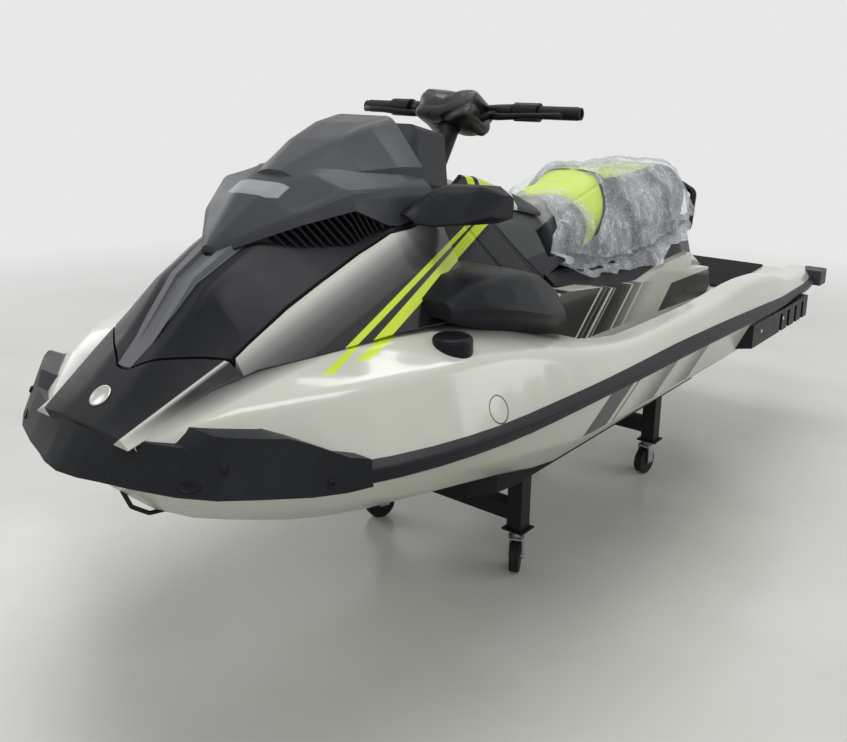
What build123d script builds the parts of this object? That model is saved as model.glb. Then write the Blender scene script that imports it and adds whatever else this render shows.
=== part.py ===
from build123d import *
import os
from math import cos, radians, sin, tan

os.makedirs("parts", exist_ok=True)

# A three-seat personal watercraft on its wheeled storage cradle.
# Millimetres, +X forward, +Y to port, +Z up, with the floor at z = 0 and x = 0 half way along.
# In the tables a station s is measured forward from the transom datum, and a height is measured
# up from the keel line, which the cradle holds KEEL_HEIGHT above the floor.

# Overall sizes and clearances
TRANSOM_TO_MIDDLE = 1580.0
KEEL_HEIGHT = 237.0
SEAM = 5.0
SEAT_GAP = 0.3
STEP_LONG, STEP_SHORT = 200.0, 100.0
CORNER_SIDES = 3

# Bond plane between hull and deck: height above the keel line at s = 0, and its rise per mm
BOND_HEIGHT, BOND_RISE = 394.0, 0.027

# Hull stations: s, keel_z, chine_y, chine_z, knuckle_y, knuckle_z; its top edge is the deck's
TRANSOM_S = 45.0
HULL = [
    (TRANSOM_S, 0, 412, 184, 498, 282),
    (300, 0, 424, 188, 520, 284),
    (600, 0, 425, 188, 534, 286),
    (1200, 0, 425, 188, 542, 290),
    (2000, 0, 425, 188, 538, 298),
    (2200, 6, 414, 222, 528, 320),
    (2500, 70, 386, 268, 476, 352),
    (2750, 160, 322, 308, 396, 385),
    (2950, 250, 222, 345, 300, 412),
    (3080, 350, 112, 392, 196, 432),
    (3150, 430, 40, 446, 120, 458),
]
CHINE_BEVEL, KNUCKLE_BEVEL = 10.0, 16.0

# Deck stations: s, bond_y, ridge_y, ridge_z, shelf_y, shelf_z
DECK = [
    (-35, 508, 478, 440, 430, 434),
    (180, 546, 520, 450, 466, 446),
    (400, 562, 540, 468, 480, 464),
    (650, 580, 552, 520, 498, 516),
    (950, 592, 562, 540, 506, 536),
    (1350, 602, 566, 522, 504, 518),
    (1750, 604, 562, 520, 498, 518),
    (2050, 600, 552, 545, 486, 560),
    (2350, 588, 530, 600, 420, 640),
    (2600, 565, 495, 622, 372, 662),
    (2820, 520, 425, 618, 290, 640),
    (2960, 452, 340, 598, 212, 622),
    (3070, 345, 245, 565, 158, 574),
    (3150, 212, 150, 530, 104, 532),
]
RIDGE_BEVEL = 22.0

# Footwells: s, inner_y, outer_y, floor_z, and how far the walls lean out to the top
WELL = [
    (1990, 338, 452, 372, 34),
    (1800, 326, 462, 334, 38),
    (1350, 322, 466, 330, 38),
    (900, 322, 466, 342, 38),
    (560, 322, 452, 396, 40),
]
WELL_TOP = 640.0
WELL_BEVEL = 18.0
PLATFORM_Z = 416.0
PLATFORM_FRONT = 640.0
PLATFORM_HALF_FRONT = 452.0
PLATFORM_HALF_REAR = 412.0
MAT_THICK = 8.0
MAT_MARGIN = 24.0
MAT_REAR, MAT_FRONT = 680.0, 1930.0

# Raised middle of the deck that carries the seat base: s, half width, height of its top
PLINTH = [
    (1960, 300, 600), (1705, 300, 604), (1350, 300, 552), (1150, 300, 545),
    (950, 300, 592), (760, 286, 588), (560, 236, 505),
]

# Black base under the seat: s, foot_y, top_y, top_z, standing on that raised middle
PEDESTAL = [
    (1700, 236, 190, 640), (1350, 256, 214, 612), (1000, 266, 226, 650),
    (780, 254, 214, 690), (600, 216, 170, 700),
]

# Engine bay under the seat, and the engine
BAY_FRONT, BAY_REAR, BAY_HALF, BAY_FLOOR = 1640.0, 940.0, 168.0, 130.0
ENGINE_LENGTH, ENGINE_WIDTH, ENGINE_HEIGHT = 620.0, 290.0, 370.0

# Bow storage tub
TUB_FRONT, TUB_REAR, TUB_HALF, TUB_FLOOR, TUB_TOP = 2820.0, 2420.0, 175.0, 330.0, 668.0
TUB_WALL, TUB_GAP = 6.0, 0.3

# Rear end of the upper bow, and the hood's hinge across it
COWL_REAR, HINGE_Z, HINGE_HALF, HINGE_SUNK = 2310.0, 985.0, 60.0, 0.5

# Upper bow body stations: s, foot_y, foot_z, edge_y, edge_z, spine_y, spine_z
COWL = [
    (3166, 164, 520, 140, 535, 60, 540),
    (3120, 176, 536, 152, 560, 62, 581),
    (3046, 196, 580, 168, 604, 66, 624),
    (2940, 224, 628, 199, 660, 84, 754),
    (2820, 272, 640, 214, 736, 88, 832),
    (2690, 330, 660, 230, 798, 90, 898),
    (2560, 368, 672, 242, 852, 92, 950),
    (2430, 384, 668, 252, 886, 94, 985),
    (COWL_REAR, 388, 650, 250, 880, 96, 1000),
]
COWL_WALL = 24.0
COWL_BEVEL = 14.0
HOOD_LIFT = 6.0

# Front edge of the hood: its (s, y) corners at one height, and how far its cut leans forward
HOOD_FRONT = [(3069, 0), (3067, 20), (3046, 44), (2936, 200)]
HOOD_FRONT_Z, HOOD_LEAN, NOSE_SEAM = 650.0, 0.5, 7.0

# Brow over the vents: s, low_y, low_z, shoulder_y, shoulder_z, crest_y, crest_z
BROW = [
    (2826, 26, 836, 22, 846, 12, 852),
    (2750, 116, 876, 104, 894, 40, 926),
    (2670, 190, 912, 172, 938, 60, 980),
    (2590, 238, 930, 218, 972, 80, 1010),
    (2500, 245, 886, 234, 970, 110, 1026),
    (2400, 246, 872, 234, 962, 150, 1026),
    (2316, 244, 864, 230, 955, 150, 1010),
]
BROW_BEVEL = 20.0
VENT_INSET, VENT_WALL, VENT_REAR, VENT_DEPTH = 12.0, 10.0, 2500.0, 90.0
VENT_SLOTS, VENT_SLOT, VENT_SLANT, SLAT_LEAST = 15, 9.0, 35.0, 400.0

# Twin ribs down the middle of the hood: s, inner_y, outer_y, height over the hood's spine
RIBS = [(3010, 14, 36, 4), (2900, 18, 46, 12), (2800, 22, 58, 14)]

# Windscreen: s, foot_y, foot_z, crown_y, crown_z
SCREEN = [
    (2628, 74, 990, 30, 1006),
    (2510, 158, 1004, 70, 1068),
    (2370, 196, 1010, 92, 1116),
    (2316, 198, 1004, 96, 1124),
]

# Front end of the console, and its stations: s, foot_y, foot_z, edge_y, edge_z, top_y, top_z
CONSOLE_FRONT = 2300.0
CONSOLE = [
    (CONSOLE_FRONT, 236, 600, 220, 880, 120, 962),
    (2180, 232, 580, 206, 880, 104, 948),
    (2020, 224, 560, 180, 850, 92, 920),
    (1840, 208, 600, 150, 800, 80, 872),
    (1640, 190, 640, 128, 745, 66, 828),
    (1545, 184, 660, 116, 716, 52, 806),
]
CONSOLE_BEVEL = 24.0

# Glove box in the console, in front of the rider
GLOVE_REAR, GLOVE_FRONT, GLOVE_HALF, GLOVE_THICK = 1650.0, 1850.0, 62.0, 14.0
GLOVE_DEPTH, GLOVE_WALL = 110.0, 16.0

# Seat: s, foot_y, foot_z, side_y, side_z, top_y, top_z, with the feet cut to the base under them
SEAT_SPLIT = 1100.0
SEAT_FRONT = [
    (1530, 118, 640, 112, 744, 64, 822),
    (1460, 146, 616, 138, 756, 82, 850),
    (1320, 176, 606, 164, 776, 96, 862),
    (1180, 196, 620, 180, 800, 110, 908),
    (SEAT_SPLIT, 198, 630, 184, 806, 116, 900),
]
SEAT_REAR = [
    (SEAT_SPLIT - SEAT_GAP, 198, 630, 186, 800, 118, 884),
    (900, 206, 660, 196, 810, 126, 888),
    (700, 190, 690, 184, 816, 120, 894),
    (560, 150, 698, 142, 806, 96, 880),
    (490, 112, 712, 108, 780, 74, 838),
]
SEAT_BEVEL = 26.0
SEAT_HINGE_S, SEAT_HINGE_Z, SEAT_HINGE_RADIUS, SEAT_HINGE_HALF = 1534.0, 812.0, 8.0, 50.0

# Protective film laid over the cushions: s, half width and height of its hem
FILM = [
    (1500, 172, 672), (1300, 204, 640), (1100, 220, 650), (1000, 222, 664), (800, 222, 694),
    (640, 206, 706),
]
FILM_PROUD, FILM_THICK = 3.0, 4.0

# Rub rail stations: s, reach above and below the bond plane
RAIL = [
    (-35, 10, 16), (500, 14, 15), (900, 28, 11), (1300, 35, 4), (1500, 35, 3), (1900, 27, 7),
    (2100, 24, 10), (2300, 22, 16), (2500, 18, 21), (2867, 22, 18),
]
RAIL_OUT, RAIL_GAP = 16.0, 0.6

# Bow bumper: its port plan at its foot and at its brim as (s, y) pairs, and its side outline
BUMPER_FOOT_Z, BUMPER_BRIM_Z = 452.0, 566.0
BUMPER_PLAN = [
    (3225, 0, 3146, 0), (3216, 60, 3143, 62), (3200, 108, 3136, 118), (3180, 180, 3118, 188),
    (3145, 277, 3092, 256), (3104, 347, 3060, 330), (3046, 406, 3016, 392), (2978, 470, 2958, 456),
    (2920, 506, 2908, 492), (2868, 525, 2868, 514),
]
BUMPER_SIDE = [
    (2868, 452), (3240, 452), (3240, 530), (3104, 534), (3074, 560), (2990, 561), (2964, 550),
    (2906, 518), (2868, 508),
]

# Side pods: s, low_y, low_z, out_y, out_z, top_y, top_z on the port side
PODS = [
    (2495, 425, 690, 430, 712, 412, 728),
    (2450, 424, 672, 455, 700, 415, 748),
    (2370, 408, 634, 486, 696, 430, 772),
    (2240, 385, 572, 512, 660, 430, 765),
    (2100, 372, 540, 496, 630, 422, 732),
    (1990, 372, 528, 446, 590, 402, 676),
    (1950, 380, 530, 415, 570, 398, 630),
]
POD_ROOT = 250.0
POD_BEVEL = 30.0

# Mirrors: y, front_s, rear_s, low_z, high_z on the port side
MIRRORS = [
    (236, 2462, 2330, 892, 930),
    (262, 2462, 2312, 890, 948),
    (285, 2458, 2290, 873, 966),
    (320, 2440, 2270, 868, 980),
    (380, 2400, 2236, 876, 978),
    (424, 2340, 2250, 892, 955),
]
MIRROR_GLASS_THICK, MIRROR_GLASS_MARGIN, MIRROR_GLASS_DROP = 3.0, 12.0, 24.0

# Sponsons, on the hull's sides at the stern
SPONSON_REAR, SPONSON_FRONT, SPONSON_LOW, SPONSON_HIGH = 300.0, 985.0, 302.0, 386.0
SPONSON_OUT, SPONSON_RIBS, SPONSON_SLOT, SPONSON_DEEP = 590.0, 4, 26.0, 22.0

# Stern corner bumpers, stern eyes and bow eye
CORNER_REAR, CORNER_FRONT, CORNER_IN, CORNER_OUT = -65.0, 30.0, 470.0, 560.0
CORNER_LOW, CORNER_HIGH = 372.0, 434.0
EYE_ROD = 10.0
STERN_EYE_Y, STERN_EYE_LOW, STERN_EYE_HIGH, STERN_EYE_REACH = 300.0, 290.0, 350.0, 46.0
BOW_EYE = [(3096, 392), (3060, 312), (3016, 280), (2940, 268)]

# Fuel cap, on the port shelf
FUEL_S, FUEL_Y, FUEL_Z, FUEL_DIAMETER, FUEL_HEIGHT = 2515.0, 447.0, 640.0, 92.0, 50.0

# Grab handle behind the seat: s, y and height at its corners, from its foot in the seat base
HANDLE_ROD = 26.0
HANDLE = [(640, 150, 610), (480, 146, 634), (424, 132, 770), (416, 70, 800)]

# Instrument housing ahead of the bars: s, half_low, low_z, half_top, top_z
INSTRUMENT = [(2246, 96, 930, 66, 1030), (2190, 104, 925, 84, 1104), (2085, 104, 920, 88, 1072)]
DISPLAY_WIDTH, DISPLAY_HEIGHT, DISPLAY_THICK = 118.0, 70.0, 5.0

# Jet pump
PUMP_Z = 130.0
TUNNEL_FRONT, TUNNEL_HALF, TUNNEL_TOP = 560.0, 136.0, 262.0
IMPELLER_DIAMETER, IMPELLER_LENGTH, IMPELLER_BLADES = 155.0, 90.0, 3
RUNNING_GAP = 5.0
PUMP_WALL, PUMP_FRONT, PUMP_REAR, PUMP_PLATE = 10.0, 450.0, 160.0, 14.0
STATOR_VANES, STATOR_LENGTH = 8, 110.0
HUB_DIAMETER, SHAFT_DIAMETER = 60.0, 24.0
CONE_LENGTH, SPOUT_LENGTH = 48.0, 28.0
NOZZLE_BORE, NOZZLE_LENGTH, NOZZLE_WALL, NOZZLE_CLEAR = 84.0, 100.0, 7.0, 2.0
NOZZLE_PIN, NOZZLE_PIN_BACK, NOZZLE_SET_BACK = 10.0, 16.0, 40.0
BUCKET_RADIUS, BUCKET_WALL, BUCKET_SIDE, BUCKET_BOSS = 96.0, 6.0, 7.0, 24.0
PLATE_THICK = 10.0
GRATE_BARS, GRATE_BAR, GRATE_RIM = 6, 10.0, 10.0

# Steering: pivot on the column's axis, rake from upright, and the bar
PIVOT_S, PIVOT_Z, STEER_RAKE = 2035.0, 930.0, 31.8
BAR_S, BAR_Z = 1868.0, 1128.0
BAR_FORWARD, BAR_DROP = 70.0, 30.0
BAR_DIAMETER, GRIP_END_Y = 22.2, 378.0
GRIP_DIAMETER, GRIP_LENGTH = 34.0, 122.0
COLUMN_DIAMETER = 60.0
COLUMN_FOOT = 16.0
PAD_LENGTH, PAD_WIDTH, PAD_HEIGHT = 130.0, 200.0, 96.0
CONTROL_LENGTH, CONTROL_DIAMETER = 74.0, 52.0

# Casters: name, station, side, yaw of the fork in degrees
CASTERS = [
    ("front_left", 1898.0, 1, 205.0),
    ("front_right", 1898.0, -1, 160.0),
    ("rear_left", 971.0, 1, 175.0),
    ("rear_right", 971.0, -1, 170.0),
]
TRACK_HALF = 260.0
WHEEL_DIAMETER, WHEEL_WIDTH = 100.0, 28.0
CASTER_HEIGHT, CASTER_TRAIL = 128.0, 30.0
AXLE_DIAMETER, FORK_PLATE = 10.0, 4.0
CASTER_PLATE, PLATE_WALL = 72.0, 5.0

# Cradle: square posts in sleeves, cross tubes, and bunks that follow the bottom's slope
POST, SLEEVE, POST_TOP = 40.0, 50.0, 270.0
CROSS_TUBE, CROSS_Z = 50.0, 180.0
BUNK_STATIONS = (730, 2000, 2100)
BUNK_WIDTH, BUNK_THICK = 100.0, 56.0


def x_at(s):
    """Forward place of a station."""
    return s - TRANSOM_TO_MIDDLE


def z_at(height):
    """Height above the floor of a height above the keel line."""
    return height + KEEL_HEIGHT


def bond_z(s):
    """Height above the keel line of the bond plane at a station."""
    return BOND_HEIGHT + BOND_RISE * s


def eased_face(points, cuts):
    """Flat face through the points, each corner eased over its cut length in a few short sides."""
    corners = [Vector(*p) for p in points]
    outline = []
    for i, corner in enumerate(corners):
        to_last, to_next = corners[i - 1] - corner, corners[(i + 1) % len(corners)] - corner
        if cuts[i] == 0:
            outline.append(corner)
            continue
        cut = min(cuts[i], to_last.length * 0.45, to_next.length * 0.45)
        start, end = to_last.normalized() * cut, to_next.normalized() * cut
        for k in range(CORNER_SIDES + 1):
            t = k / CORNER_SIDES
            outline.append(corner + start * (1 - t) ** 2 + end * t**2)
    return Face(Wire(Polyline(*outline, close=True).edges()))


def ring(s, half, cuts):
    """Closed outline at a station, from its port half: (y, z) from the bottom round to the top."""
    port = [(y, z, cut) for (y, z), cut in zip(half, cuts)]
    starboard = [(-y, z, cut) for y, z, cut in reversed(port) if y > 0]
    whole = port + starboard
    return eased_face([(x_at(s), y, z_at(z)) for y, z, cut in whole], [cut for y, z, cut in whole])


def port_ring(s, points, cuts):
    """Closed outline at a station from its own (y, z) points."""
    return eased_face([(x_at(s), y, z_at(z)) for y, z in points], cuts)


def eased(table, s):
    """Row of a table at a station, by a smooth curve that never overshoots the table's rows."""
    rows = sorted(table)
    last = len(rows) - 1
    i = max([j for j in range(last) if rows[j][0] <= s] + [0])

    def slope(j, column):
        before = after = None
        if j > 0:
            before = (rows[j][column] - rows[j - 1][column]) / (rows[j][0] - rows[j - 1][0])
        if j < last:
            after = (rows[j + 1][column] - rows[j][column]) / (rows[j + 1][0] - rows[j][0])
        if before is None or after is None:
            return after if before is None else before
        return 2 * before * after / (before + after) if before * after > 0 else 0.0

    span = rows[i + 1][0] - rows[i][0]
    t = (s - rows[i][0]) / span
    row = [s]
    for column in range(1, len(rows[0])):
        low, high = rows[i][column], rows[i + 1][column]
        leave, arrive = slope(i, column) * span, slope(i + 1, column) * span
        row.append(
            (2 * t**3 - 3 * t**2 + 1) * low + (t**3 - 2 * t**2 + t) * leave
            + (3 * t**2 - 2 * t**3) * high + (t**3 - t**2) * arrive
        )
    return row


def skin(table, outline, step, rear_trim=0.0, front_trim=0.0, **options):
    """Solid through a table's outlines, taken at its ends and at each whole step between."""
    rows = sorted(table)
    first, last = rows[0][0] + rear_trim, rows[-1][0] - front_trim
    inner = [i * step for i in range(-5, 60) if first + step / 4 < i * step < last - step / 4]
    return loft([outline(*eased(table, s), **options) for s in [first, *inner, last]], ruled=True)


def box_between(low, high):
    """Box from its low corner to its high corner, given as (s, y, height)."""
    size = [high[i] - low[i] for i in range(3)]
    middle = [(high[i] + low[i]) / 2 for i in range(3)]
    return Pos(x_at(middle[0]), middle[1], z_at(middle[2])) * Box(*size)


def side_prism(points, half_width):
    """Prism across the craft from a side outline of (s, height) points."""
    outline = Polyline(*[(x_at(s), half_width, z_at(z)) for s, z in points], close=True)
    return extrude(Face(Wire(outline.edges())), amount=2 * half_width, dir=(0, -1, 0))


def plan_prism(points, low, high):
    """Upright prism from a plan outline of (s, y) points, between two heights."""
    outline = Polyline(*[(x_at(s), y, z_at(low)) for s, y in points], close=True)
    return extrude(Face(Wire(outline.edges())), amount=high - low, dir=(0, 0, 1))


def rod(points, diameter, bend):
    """Round bar along (s, y, height) points with bent corners."""
    line = FilletPolyline(*[(x_at(s), y, z_at(z)) for s, y, z in points], radius=bend)
    return sweep(Plane(line @ 0, z_dir=line % 0) * Circle(diameter / 2), line)


def mirrored(shape):
    """The shape's mirror image across the middle plane."""
    return mirror(shape, about=Plane.XZ)


def both_sides(shape):
    """The shape and its mirror image as one set of solids."""
    return Compound(children=[*shape.solids(), *mirrored(shape).solids()])


def write(name, shape):
    """Write one sub-part."""
    export_step(shape, "parts/" + name + ".step")


def hull_ring(s, keel_z, chine_y, chine_z, knuckle_y, knuckle_z):
    half = [(0, keel_z), (chine_y, chine_z), (knuckle_y, knuckle_z), (eased(DECK, s)[1], bond_z(s))]
    return ring(s, half, [0, CHINE_BEVEL, KNUCKLE_BEVEL, 0])


def deck_ring(s, bond_y, ridge_y, ridge_z, shelf_y, shelf_z):
    half = [(bond_y, bond_z(s)), (ridge_y, ridge_z), (shelf_y, shelf_z)]
    return ring(s, half, [0, RIDGE_BEVEL, RIDGE_BEVEL])


def well_ring(s, inner_y, outer_y, floor_z, lean):
    points = [
        (inner_y, floor_z), (outer_y, floor_z), (outer_y + lean, WELL_TOP),
        (inner_y - lean, WELL_TOP),
    ]
    return port_ring(s, points, [WELL_BEVEL, WELL_BEVEL, 0, 0])


def plinth_ring(s, half_width, top_z):
    return ring(s, [(half_width + 10, bond_z(s)), (half_width, top_z)], [0, 0])


# Hull and deck: lofts that meet on the bond plane, with wells, bays and holes cut through both
hull_body = skin(HULL, hull_ring, STEP_SHORT)
deck_body = skin(DECK, deck_ring, STEP_SHORT)
port_well = skin(WELL, well_ring, STEP_LONG)
platform_space = plan_prism([
    (PLATFORM_FRONT, -PLATFORM_HALF_FRONT), (PLATFORM_FRONT, PLATFORM_HALF_FRONT),
    (-60, PLATFORM_HALF_REAR), (-60, -PLATFORM_HALF_REAR),
], PLATFORM_Z, WELL_TOP)
bay = box_between((BAY_REAR, -BAY_HALF, BAY_FLOOR), (BAY_FRONT, BAY_HALF, 760))
tub_grow = TUB_WALL + TUB_GAP
tub_hole = box_between(
    (TUB_REAR - tub_grow, -TUB_HALF - tub_grow, TUB_FLOOR - tub_grow),
    (TUB_FRONT + tub_grow, TUB_HALF + tub_grow, 800),
)
tunnel = box_between((0, -TUNNEL_HALF, -40), (TUNNEL_FRONT, TUNNEL_HALF, TUNNEL_TOP))
plinth = skin(PLINTH, plinth_ring, STEP_LONG)
deck = deck_body - platform_space + plinth
deck = deck - port_well - mirrored(port_well) - bay - tub_hole
hull = hull_body - port_well - mirrored(port_well) - bay - tub_hole - tunnel
write("hull", hull)
write("deck", deck)

# Black mats on the platform and in the footwells
platform_mat = plan_prism([
    (PLATFORM_FRONT - 90, -PLATFORM_HALF_FRONT + 110), (PLATFORM_FRONT - 90, PLATFORM_HALF_FRONT - 110),
    (-35 + MAT_MARGIN, PLATFORM_HALF_REAR - 110), (-35 + MAT_MARGIN, -PLATFORM_HALF_REAR + 110),
], PLATFORM_Z, PLATFORM_Z + MAT_THICK) - plinth


def well_mat_ring(s, inner_y, outer_y, floor_z, lean):
    low, high = floor_z - MAT_THICK, floor_z + MAT_THICK
    inner, outer = inner_y + MAT_MARGIN, outer_y - MAT_MARGIN
    return port_ring(s, [(inner, low), (outer, low), (outer, high), (inner, high)], [0] * 4)


mat_span = box_between((MAT_REAR, 0, 300), (MAT_FRONT, 600, 500))
well_mat = skin(WELL, well_mat_ring, STEP_LONG) & port_well & mat_span
mats = Compound(children=[*platform_mat.solids(), *well_mat.solids(), *mirrored(well_mat).solids()])
write("deck_mats", mats)

# Bow storage tub, hung by its rim on the shelf
tub = box_between(
    (TUB_REAR - TUB_WALL, -TUB_HALF - TUB_WALL, TUB_FLOOR - TUB_WALL),
    (TUB_FRONT + TUB_WALL, TUB_HALF + TUB_WALL, TUB_TOP),
)
tub = tub - box_between((TUB_REAR, -TUB_HALF, TUB_FLOOR), (TUB_FRONT, TUB_HALF, TUB_TOP + 1))
write("storage_tub", tub)

# Engine, one plain block on the floor of its bay
engine_s = (BAY_REAR + BAY_FRONT) / 2
engine = box_between(
    (engine_s - ENGINE_LENGTH / 2, -ENGINE_WIDTH / 2, BAY_FLOOR),
    (engine_s + ENGINE_LENGTH / 2, ENGINE_WIDTH / 2, BAY_FLOOR + ENGINE_HEIGHT),
)
write("engine_block", fillet(engine.edges().filter_by(Axis.Z), 30))


# Upper bow: one shell, cut along the hood's edges into the hood and the two side fairings
def cowl_ring(s, foot_y, foot_z, edge_y, edge_z, spine_y, spine_z, inward=0.0, lift=0.0):
    half = [
        (foot_y - inward, foot_z + lift - inward * 3),
        (foot_y - inward + 0.5, foot_z + lift + 2),
        (edge_y - inward, edge_z - inward * 0.7),
        (spine_y - inward * 0.5, spine_z - inward),
    ]
    return ring(s, half, [0, 0, 0, COWL_BEVEL])


def edge_line(gap):
    """The hood's port edge in plan behind its front corner, moved outwards by a gap."""
    corner_s, corner_y = HOOD_FRONT[-1]
    rows = [(row[0], row[3] + gap) for row in COWL if row[0] < corner_s]
    return [(corner_s - gap, corner_y + gap), *rows]


def behind_hood_front(gap):
    """All that lies behind the hood's leaning front cut, moved forward by a gap."""
    line = [*HOOD_FRONT, (HOOD_FRONT[-1][0], 700), (COWL_REAR - 700, 700)]
    port = [(s + gap, y) for s, y in line]
    whole = port + [(s, -y) for s, y in reversed(port) if y > 0]
    outline = Polyline(*[(x_at(s), y, z_at(HOOD_FRONT_Z)) for s, y in whole], close=True)
    return extrude(Face(Wire(outline.edges())), amount=400, dir=(HOOD_LEAN, 0, 1), both=True)


cowl_outer = skin(COWL, cowl_ring, STEP_SHORT)
cowl_inner = skin(COWL, cowl_ring, STEP_SHORT, -COWL_WALL, COWL_WALL, inward=COWL_WALL)
cowl_shell = cowl_outer - cowl_inner
hood_edge = [(COWL[0][0], HOOD_FRONT[-1][1]), *edge_line(0.0)]
hood_plan = plan_prism(hood_edge + [(s, -y) for s, y in reversed(hood_edge)], 500, 1200)
fairing_edge = edge_line(SEAM)
fairing_plan = plan_prism([(fairing_edge[0][0], 700), *fairing_edge, (2300, 700)], 500, 1200)
deck_lifted = Pos(0, 0, HOOD_LIFT) * deck_body
hood_panel = (cowl_outer & hood_plan & behind_hood_front(0.0)) - cowl_inner - deck_lifted
hinge_radius = (COWL_REAR - CONSOLE_FRONT - SEAT_GAP) / 2 + HINGE_SUNK
hinge_s = CONSOLE_FRONT + SEAT_GAP + hinge_radius
hinge_place = Pos(x_at(hinge_s), 0, z_at(HINGE_Z)) * Rot(90, 0, 0)
hood_panel = hood_panel + hinge_place * Cylinder(hinge_radius, 2 * HINGE_HALF)


def rib_ring(s, inner_y, outer_y, height):
    spine_y, spine_z = eased(COWL, s)[5:7]
    points = [
        (inner_y, spine_z - 8), (outer_y, spine_z - 8), (outer_y - height / 2, spine_z + height),
        (inner_y + height / 4, spine_z + height),
    ]
    return port_ring(s, points, [0] * 4)


rib = loft([rib_ring(*row) for row in RIBS], ruled=True)
hood_panel = hood_panel + rib + mirrored(rib)
port_fairing = (cowl_outer & fairing_plan) - cowl_inner - deck_body
write("hood_panel", hood_panel)
write("side_fairings", both_sides(port_fairing))


# Brow, vent grilles and windscreen, carried by the hood
def brow_ring(s, low_y, low_z, shoulder_y, shoulder_z, crest_y, crest_z, inward=0.0):
    half = [
        (low_y - inward, low_z), (shoulder_y - inward, shoulder_z - inward / 2),
        (crest_y - inward / 2, crest_z - inward),
    ]
    return ring(s, half, [0, BROW_BEVEL, BROW_BEVEL])


def screen_ring(s, foot_y, foot_z, crown_y, crown_z):
    half = [(foot_y, foot_z - 60), (foot_y, foot_z), (crown_y, crown_z)]
    return ring(s, half, [0, 0, 20.0])


brow_body = skin(BROW, brow_ring, STEP_SHORT)
hood_brow = brow_body - cowl_outer - hood_panel
windscreen = skin(SCREEN, screen_ring, STEP_SHORT) - brow_body - cowl_outer
write("hood_brow", hood_brow)


def vent_ring(s, low_y, low_z, shoulder_y, shoulder_z, crest_y, crest_z, inward=0.0):
    edge = max(low_y - VENT_INSET - inward, 2.0)
    half = [(edge, low_z - VENT_DEPTH), (edge, low_z + 2)]
    return ring(s, half, [0, 0])


vent_rows = [row for row in BROW if row[0] >= VENT_REAR]
vent = skin(vent_rows, vent_ring, STEP_SHORT) - skin(vent_rows, vent_ring, STEP_SHORT, inward=VENT_WALL)
slot_step = (vent_rows[0][0] - VENT_REAR - 80) / VENT_SLOTS
for i in range(VENT_SLOTS):
    slot_place = Pos(x_at(VENT_REAR + 30 + slot_step * (i + 0.5)), 0, z_at(vent_rows[2][2]))
    vent = vent - slot_place * Rot(0, VENT_SLANT, 0) * Box(VENT_SLOT, 600, 200)
vent = vent - brow_body - cowl_outer - hood_panel
write("vent_grilles", Compound(children=[slat for slat in vent.solids() if slat.volume > SLAT_LEAST]))
write("windscreen", windscreen)


# Console with the glove box, its lid, and the instruments
def form_ring(s, low_y, low_z, mid_y, mid_z, top_y, top_z, bevel=20.0):
    return ring(s, [(low_y, low_z), (mid_y, mid_z), (top_y, top_z)], [0, bevel, bevel])


def under_console_top(rear, front, down, up):
    """Slab between two stations, from below to above the console's sloped top."""
    low, high = eased(CONSOLE, rear)[6], eased(CONSOLE, front)[6]
    return [(rear, low + up), (front, high + up), (front, high - down), (rear, low - down)]


column_axis = Pos(x_at(PIVOT_S), 0, z_at(PIVOT_Z)) * Rot(0, -STEER_RAKE, 0)
console_body = skin(CONSOLE, form_ring, STEP_SHORT, bevel=CONSOLE_BEVEL)
lid_slab = side_prism(under_console_top(GLOVE_REAR, GLOVE_FRONT, GLOVE_THICK, 60), GLOVE_HALF)
lid_space = side_prism(
    under_console_top(GLOVE_REAR - SEAM, GLOVE_FRONT + SEAM, GLOVE_THICK + SEAM, 60),
    GLOVE_HALF + SEAM,
)
bin_space = side_prism(
    under_console_top(GLOVE_REAR + GLOVE_WALL, GLOVE_FRONT - GLOVE_WALL, GLOVE_DEPTH, 60),
    GLOVE_HALF - GLOVE_WALL,
)
collar = column_axis * Pos(0, 0, COLUMN_FOOT - 40 - SEAT_GAP) * Cylinder(COLUMN_DIAMETER / 2 + 8, 80)
hinge_boss = box_between(
    (CONSOLE_FRONT - 20, -HINGE_HALF, HINGE_Z - 50), (CONSOLE_FRONT, HINGE_HALF, HINGE_Z + 7)
)
console = console_body + collar + hinge_boss - deck - lid_space - bin_space - bay
write("steering_console", console)
barrel_s = GLOVE_FRONT + SEAM / 2
barrel = Pos(x_at(barrel_s), 0, z_at(eased(CONSOLE, barrel_s)[6])) * Rot(90, 0, 0)
barrel = barrel * Cylinder(SEAM / 2 - SEAT_GAP, 2 * GLOVE_HALF)
tongue = box_between(
    (GLOVE_FRONT - 4, -GLOVE_HALF, eased(CONSOLE, barrel_s)[6] - 3),
    (barrel_s, GLOVE_HALF, eased(CONSOLE, barrel_s)[6] - 1),
)
glovebox_lid = (console_body & lid_slab) + barrel + tongue
write("glovebox_lid", glovebox_lid)


def instrument_ring(s, half_low, low_z, half_top, top_z):
    return ring(s, [(half_low, low_z), (half_top, top_z)], [0, 16.0])


instrument = skin(INSTRUMENT, instrument_ring, STEP_SHORT) - console_body
display_s = INSTRUMENT[-1][0]
display_z = (INSTRUMENT[-1][2] + INSTRUMENT[-1][4]) / 2 + 10
display = box_between(
    (display_s - DISPLAY_THICK, -DISPLAY_WIDTH / 2, display_z - DISPLAY_HEIGHT / 2),
    (display_s, DISPLAY_WIDTH / 2, display_z + DISPLAY_HEIGHT / 2),
)
write("instrument_housing", instrument)
write("display", display)


# Seat base, cushions and the film over them
def pedestal_ring(s, foot_y, top_y, top_z):
    foot_z = eased(PLINTH, s)[2] + SEAT_GAP
    return ring(s, [(foot_y, foot_z), (top_y, top_z)], [0, 12.0])


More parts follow.
